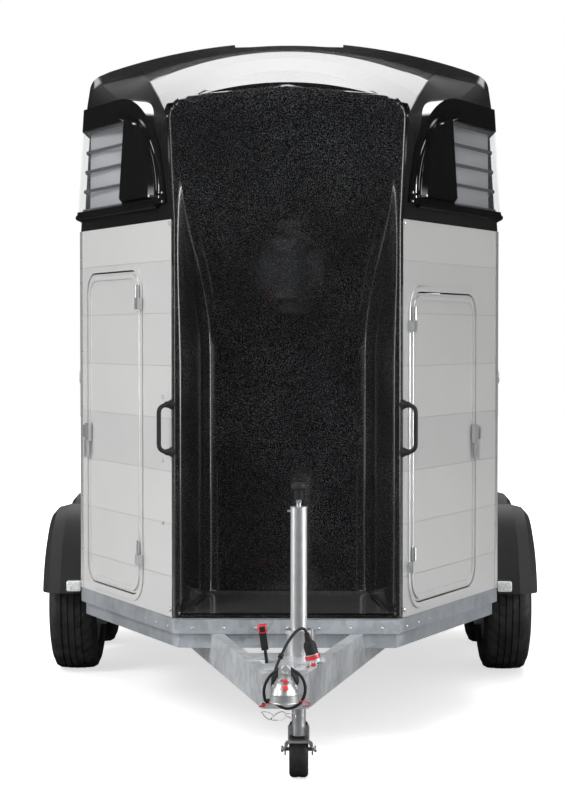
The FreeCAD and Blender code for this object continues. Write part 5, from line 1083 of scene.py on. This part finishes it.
# Overrun coupling: a galvanised housing with rubber bellows, and a bright cast head with red wear marks, a
# locking eye, a collar round its cup and two pairs of bolts.
def torus_part(centre, direction, big, small, steps=40, sides=12):
    """Points and faces of a ring round a direction through its centre."""
    basis = np.array(Vector(direction).normalized().to_track_quat("Z", "Y").to_matrix())
    turn = np.linspace(0, 2 * np.pi, steps, endpoint=False)[:, None]
    roll = np.linspace(0, 2 * np.pi, sides, endpoint=False)[None]
    reach = big + small * np.cos(roll)
    local = np.stack([reach * np.cos(turn), reach * np.sin(turn), small * np.sin(roll) + 0 * turn], -1)
    return (local @ basis.T + np.asarray(centre)).reshape(-1, 3), grid_faces(steps, sides, True, True)


cable_sheath = grained_black("cable_sheath", 0.012, 0.024, 700, "cable_black")
red_plastic = enamel("red_plastic", "cable_red", (0.52, 0.02, 0.03), (0.70, 0.05, 0.05), 0.28)
clad(hot_zinc, "overrun_housing", "plug_holder", "cable_glands")
clad(cable_sheath, "bellows")
clad(zinc_plate, "coupling_head", "draw_tube")
ball_y = corner_of("coupling_head")[0][1] + 0.046
gathered("coupling_marks", [
    turned_part([(0, 0.0095), (0.004, 0.0095), (0.008, 0.005)],
                (0.004, ball_y - 0.0405, 0.456), (0, -1, 0.35), 24),
    rounded_block((0.004, ball_y - 0.016, 0.474), (0.015, 0.018, 0.011), 0.003),
], red_plastic)
eye = torus_part((0.004, ball_y + 0.020, 0.503), (0, 1, 0.15), 0.0125, 0.0045)
gathered("coupling_eye", [eye], zinc_plate)
cup_rings = ((0.432, 0.0452), (0.405, 0.0448))
collar_rings = [torus_part((0, ball_y, z), (0, 0, 1), reach, 0.003, 56, 10) for z, reach in cup_rings]
gathered("coupling_collar", collar_rings, zinc_plate)
screws_row("head_bolts", [(x * 0.026, ball_y + y, 0.425) for y in (0.105, 0.128) for x in (-1.35, 1.35)],
           (0, 0, 1), 0.0085, height=0.012)


# Handbrake: a lever with a black moulded plastic grip on a bright zinc-plated neck. The release button on
# top is red plastic with a black face, pressed into the grip.
clad(matt_black, "handbrake_lever")
lever_low, lever_high = corner_of("handbrake_lever")
lever_top = np.array((lever_low[0] + 0.014, (lever_low[1] + lever_high[1]) / 2, lever_high[2]))
lean = math.radians(-8)
for name, offset, size, rounding, finish in (
    ("brake_button", (0, -0.001, -0.014), (0.031, 0.030, 0.032), 0.006, red_plastic),
    ("brake_button_face", (0, -0.0165, -0.014), (0.019, 0.002, 0.019), 0.0008, matt_black),
    ("brake_neck", (0.005, 0, -0.037), (0.018, 0.020, 0.014), 0.004, zinc_plate),
):
    gathered(name, [rounded_block(tuple(lever_top + offset), size, rounding, lean)], finish)


# Safety chain: snap hooks of bright bent wire hang from the lower edge of the drawbar's head plate. Four
# zinc-plated bolts hold the plate.
def wire_hook(centre, wide, tall, lean_side):
    """A wire ring squeezed to an egg: its height is scaled by one plus 0.35 times the turn's cosine."""
    turn = np.linspace(0, 2 * np.pi, 30, endpoint=False)
    squeeze = 1 + 0.35 * np.cos(turn)
    points = np.stack([wide * np.cos(turn), np.zeros_like(turn) + 0.004 * np.sin(2 * turn),
                       tall * np.sin(turn) * squeeze], -1)
    spin = np.array(Matrix.Rotation(lean_side, 3, "Y"))
    return swept(points @ spin.T + np.asarray(centre), round_section(0.0016, 8), True, (0, 1, 0))


plate_y = -2.006
gathered("snap_hooks", [
    wire_hook((-0.060, plate_y - 0.004, 0.306), 0.020, 0.010, 0.5),
    wire_hook((-0.022, plate_y - 0.006, 0.300), 0.026, 0.012, -0.35),
    wire_hook((0.018, plate_y - 0.004, 0.304), 0.018, 0.008, 0.2),
], zinc_plate)
screws_row("plate_bolts", [(x, plate_y + 0.001, z) for x in (-0.030, 0.030) for z in (0.345, 0.400)],
           (0, -1, 0), 0.008, height=0.006)


# The jockey wheel: a bright tube in a clamp, with a black knob on its folded crank, a cap ring and a side
# pin. In the bright fork, which has a collar and axle nuts, runs a solid rubber tyre on a black rim.
def jockey_band():
    """The tyre's half profile, with rounded shoulders and two fine ribs, is mirrored and turned about the
    axle."""
    low, high = corner_of("jockey_tyre")
    centre, radius, half = (low + high) / 2, (high[2] - low[2]) / 2, (high[0] - low[0]) / 2
    seat = radius - 0.0276
    left = [
        (-half + 0.007, seat), (-half + 0.001, seat + 0.006), (-half, radius - 0.012),
        (-half + 0.004, radius - 0.004), (-half + 0.012, radius), (-0.006, radius), (-0.004, radius - 0.0015),
    ]
    profile = np.array(left + [(-along, reach) for along, reach in reversed(left)])
    turn = np.linspace(0, 2 * np.pi, 96, endpoint=False)[:, None]
    along = np.repeat(profile[None, :, 0], len(turn), 0)
    points = np.stack([along, profile[:, 1] * np.cos(turn), profile[:, 1] * np.sin(turn)], -1) + centre
    faces = grid_faces(len(turn), len(profile), True, True)[:, ::-1]
    band = new_mesh("jockey_band", points, faces, tyre_rubber, "jockey_wheel", 40)
    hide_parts("jockey_tyre")


clad(zinc_plate, "jockey_tube", "jockey_fork", "jockey_clamp", "jockey_crank")
clad(matt_black, "jockey_rim")
clad(tyre_rubber, "jockey_tyre")
jockey_band()
tube_x, tube_y, tube_top = 0.045, -1.685, corner_of("jockey_tube")[1][2]
knob_y = tube_y - 0.046
knob = [(0.030, 0.0150), (0.034, 0.0165), (0.058, 0.0150), (0.064, 0.0175), (0.068, 0.0255), (0.072, 0.0268),
        (0.082, 0.0268), (0.087, 0.0235), (0.089, 0.0150)]
gathered("crank_knob", [turned_part(knob, (tube_x, knob_y, tube_top), (0, 0, 1), 36)], matt_black)
cap_ring = turned_part([(0, 0.0305), (0.003, 0.0305), (0.004, 0.0270), (0.0045, 0.010)],
                       (tube_x, tube_y, tube_top - 0.002), (0, 0, 1), 40)
side_pin = turned_part([(0, 0.004), (0.010, 0.004), (0.012, 0.0025)],
                       (tube_x - 0.028, tube_y, tube_top - 0.014), (-1, 0, 0), 12)
gathered("tube_cap", [cap_ring, side_pin], zinc_plate)
collar = turned_part([(0, 0.0262), (0.006, 0.0285), (0.016, 0.0285), (0.020, 0.0262)],
                     (tube_x, tube_y, 0.286), (0, 0, 1), 36)
gathered("fork_collar", [collar], zinc_plate, "jockey_caster")
fork_low, fork_high = corner_of("jockey_fork")
wheel_low, wheel_high = corner_of("jockey_tyre")
axle_y, axle_z = (wheel_low[1] + wheel_high[1]) / 2, (wheel_low[2] + wheel_high[2]) / 2
nuts = [turned_part([(0, 0.012), (0.007, 0.012), (0.009, 0.010)], (x, axle_y, axle_z), (sign, 0, 0), 6)
        for x, sign in ((fork_low[0] + 0.004, -1), (fork_high[0] - 0.004, 1))]
gathered("fork_nuts", nuts, zinc_plate, "jockey_caster")


# Marker lamps: a clear prism lens in a dark plastic base on a bent bracket at each front corner. The
# galvanised rings on the side walls are for tying the horses.
clad(clear_lens, "marker_lamps")
clad(hot_zinc, "tie_rings")
lamp_high = corner_of("marker_lamps")[1]
for side, key in ((-1, "left"), (1, "right")):
    x = (lamp_high[0] - 0.034) * side
    lamp = gathered(f"marker_lens_{key}", [
        rounded_block((x, y_corner - 0.015, 0.507), (0.062, 0.040, 0.044), 0.007),
    ], clear_lens)
    gathered(f"marker_base_{key}", [
        rounded_block((x - 0.004 * side, y_corner + 0.008, 0.506), (0.066, 0.010, 0.052), 0.004),
        rounded_block((x - 0.022 * side, y_corner + 0.012, 0.479), (0.060, 0.052, 0.005), 0.002),
    ], matt_black)
    if side < 0:
        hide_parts("marker_lamps")


# Plug: a ribbed rubber boot that widens from the cable, a moulded body and a red locking ring, parked in a
# socket with a pale tag. A black clip holds the cable on its way.
clad(cable_sheath, "electric_plug")
plug_top = np.array((0.074, -1.870, 0.552))
plug_tilt = math.atan2(25, 95)
plug_way = np.array((math.sin(plug_tilt), 0, -math.cos(plug_tilt)))
boot = [(-0.010, 0.0062), (-0.008, 0.0078)]
for k in range(4):
    start = -0.006 + 0.006 * k
    boot += [(start, 0.0082 + 0.0011 * k), (start + 0.0035, 0.0088 + 0.0011 * k),
             (start + 0.004, 0.0078 + 0.0011 * k)]
boot += [(0.020, 0.0135), (0.027, 0.0195), (0.034, 0.0215), (0.066, 0.0225), (0.068, 0.0205), (0.088, 0.0205)]
plug = gathered("plug_body", [turned_part(boot, plug_top, plug_way, 40)], matt_black, "chassis", 30)
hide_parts("electric_plug")
ring_steps = [(0.0, 0.0212), (0.001, 0.0262), (0.010, 0.0270), (0.016, 0.0262), (0.0165, 0.0215)]
gathered("plug_ring", [turned_part(ring_steps, plug_top + plug_way * 0.067, plug_way, 40)], red_plastic)
tag_place = plug_top + plug_way * 0.100 + (-0.004, -0.026, 0)
gathered("socket_tag", [rounded_block(tuple(tag_place), (0.026, 0.004, 0.022), 0.0015)], clear_lens)
gathered("socket_tag_face", [
    rounded_block(tuple(tag_place + (0, -0.0022, 0)), (0.016, 0.002, 0.012), 0.0008),
], red_plastic)
cable_clip = turned_part([(-0.008, 0.0066), (-0.007, 0.0085), (0.007, 0.0085), (0.008, 0.0066)],
                         (-0.014, -2.025, 0.506), (0.25, 0.75, 0.55), 20)
gathered("cable_clip", [cable_clip], matt_black)


# Electric cable: a black sheathed lead. It leaves its gland in the head plate, goes once round the draw
# tube and over to its parked plug. Its route repeats the points of part.py, in metres.
def cord_curve(name, route, diameter, finish):
    """A cord whose line is one NURBS spline of order 3 with the route's points as its control points."""
    data = bpy.data.curves.new(name, "CURVE")
    data.dimensions = "3D"
    data.bevel_depth = diameter / 2
    data.bevel_resolution = 4
    data.resolution_u = 10
    data.use_fill_caps = True
    line = data.splines.new("NURBS")
    line.points.add(len(route) - 1)
    line.points.foreach_set("co", [v for point in route for v in (*point, 1)])
    line.order_u = 3
    line.use_endpoint_u = True
    piece = bpy.data.objects.new(name, data)
    bpy.context.scene.collection.objects.link(piece)
    dress(piece, finish)
    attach(piece, "chassis")
    return piece


clad(cable_sheath, "electric_cable")
electric_route = [
    (-0.056, -2.013, 0.352),
    (-0.056, -2.048, 0.352),
    (-0.068, -2.090, 0.372),
    (-0.070, -2.106, 0.420),
    (-0.042, -2.108, 0.466),
    (0.008, -2.110, 0.482),
    (0.054, -2.112, 0.460),
    (0.072, -2.114, 0.412),
    (0.054, -2.116, 0.362),
    (0.008, -2.118, 0.342),
    (-0.036, -2.116, 0.366),
    (-0.044, -2.106, 0.414),
    (-0.032, -2.072, 0.470),
    (-0.014, -2.025, 0.506),
    (0.006, -1.975, 0.540),
    (0.028, -1.930, 0.566),
    (0.050, -1.892, 0.580),
    (0.0684, -1.870, 0.5733),
    (0.074, -1.870, 0.552),
]
electric = cord_curve("electric_cord", electric_route, 0.010, cable_sheath)
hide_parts("electric_cable")


# Breakaway cable: a thin steel wire in a red plastic sheath. It leaves its gland in the head plate, loops
# in front of the coupling and ends in the plate. Its route repeats the points of part.py, in metres.
red_sheath = enamel("red_sheath", "cable_red", (0.45, 0.015, 0.03), (0.60, 0.03, 0.05), 0.3, 0.2)
clad(red_sheath, "breakaway_cable")
breakaway_route = [
    (-0.072, -2.013, 0.340),
    (-0.072, -2.048, 0.340),
    (-0.090, -2.094, 0.348),
    (-0.062, -2.136, 0.366),
    (-0.014, -2.150, 0.378),
    (0.036, -2.148, 0.381),
    (0.078, -2.124, 0.370),
    (0.088, -2.084, 0.354),
    (0.060, -2.040, 0.338),
    (0.060, -2.013, 0.338),
]
breakaway = cord_curve("breakaway_cord", breakaway_route, 0.004, red_sheath)
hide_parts("breakaway_cable")


# Strain reliefs: a ribbed black sleeve, moulded in soft plastic, sits in each gland of the head plate and
# tapers onto its cable.
for name, route, thick in (("cable_relief", electric_route, 0.005), ("wire_relief", breakaway_route, 0.002)):
    way = Vector(route[1]) - Vector(route[0])
    taper = [(-0.002, thick + 0.0045), (0.003, thick + 0.0045), (0.004, thick + 0.003)]
    for k in range(4):
        step, reach = 0.004 + 0.005 * k, thick + 0.0028 - 0.0006 * k
        taper += [(step, reach), (step + 0.003, reach), (step + 0.0035, reach - 0.0008)]
    taper.append((0.026, thick + 0.0002))
    gathered(name, [turned_part(taper, route[0], tuple(way), 20)], matt_black)
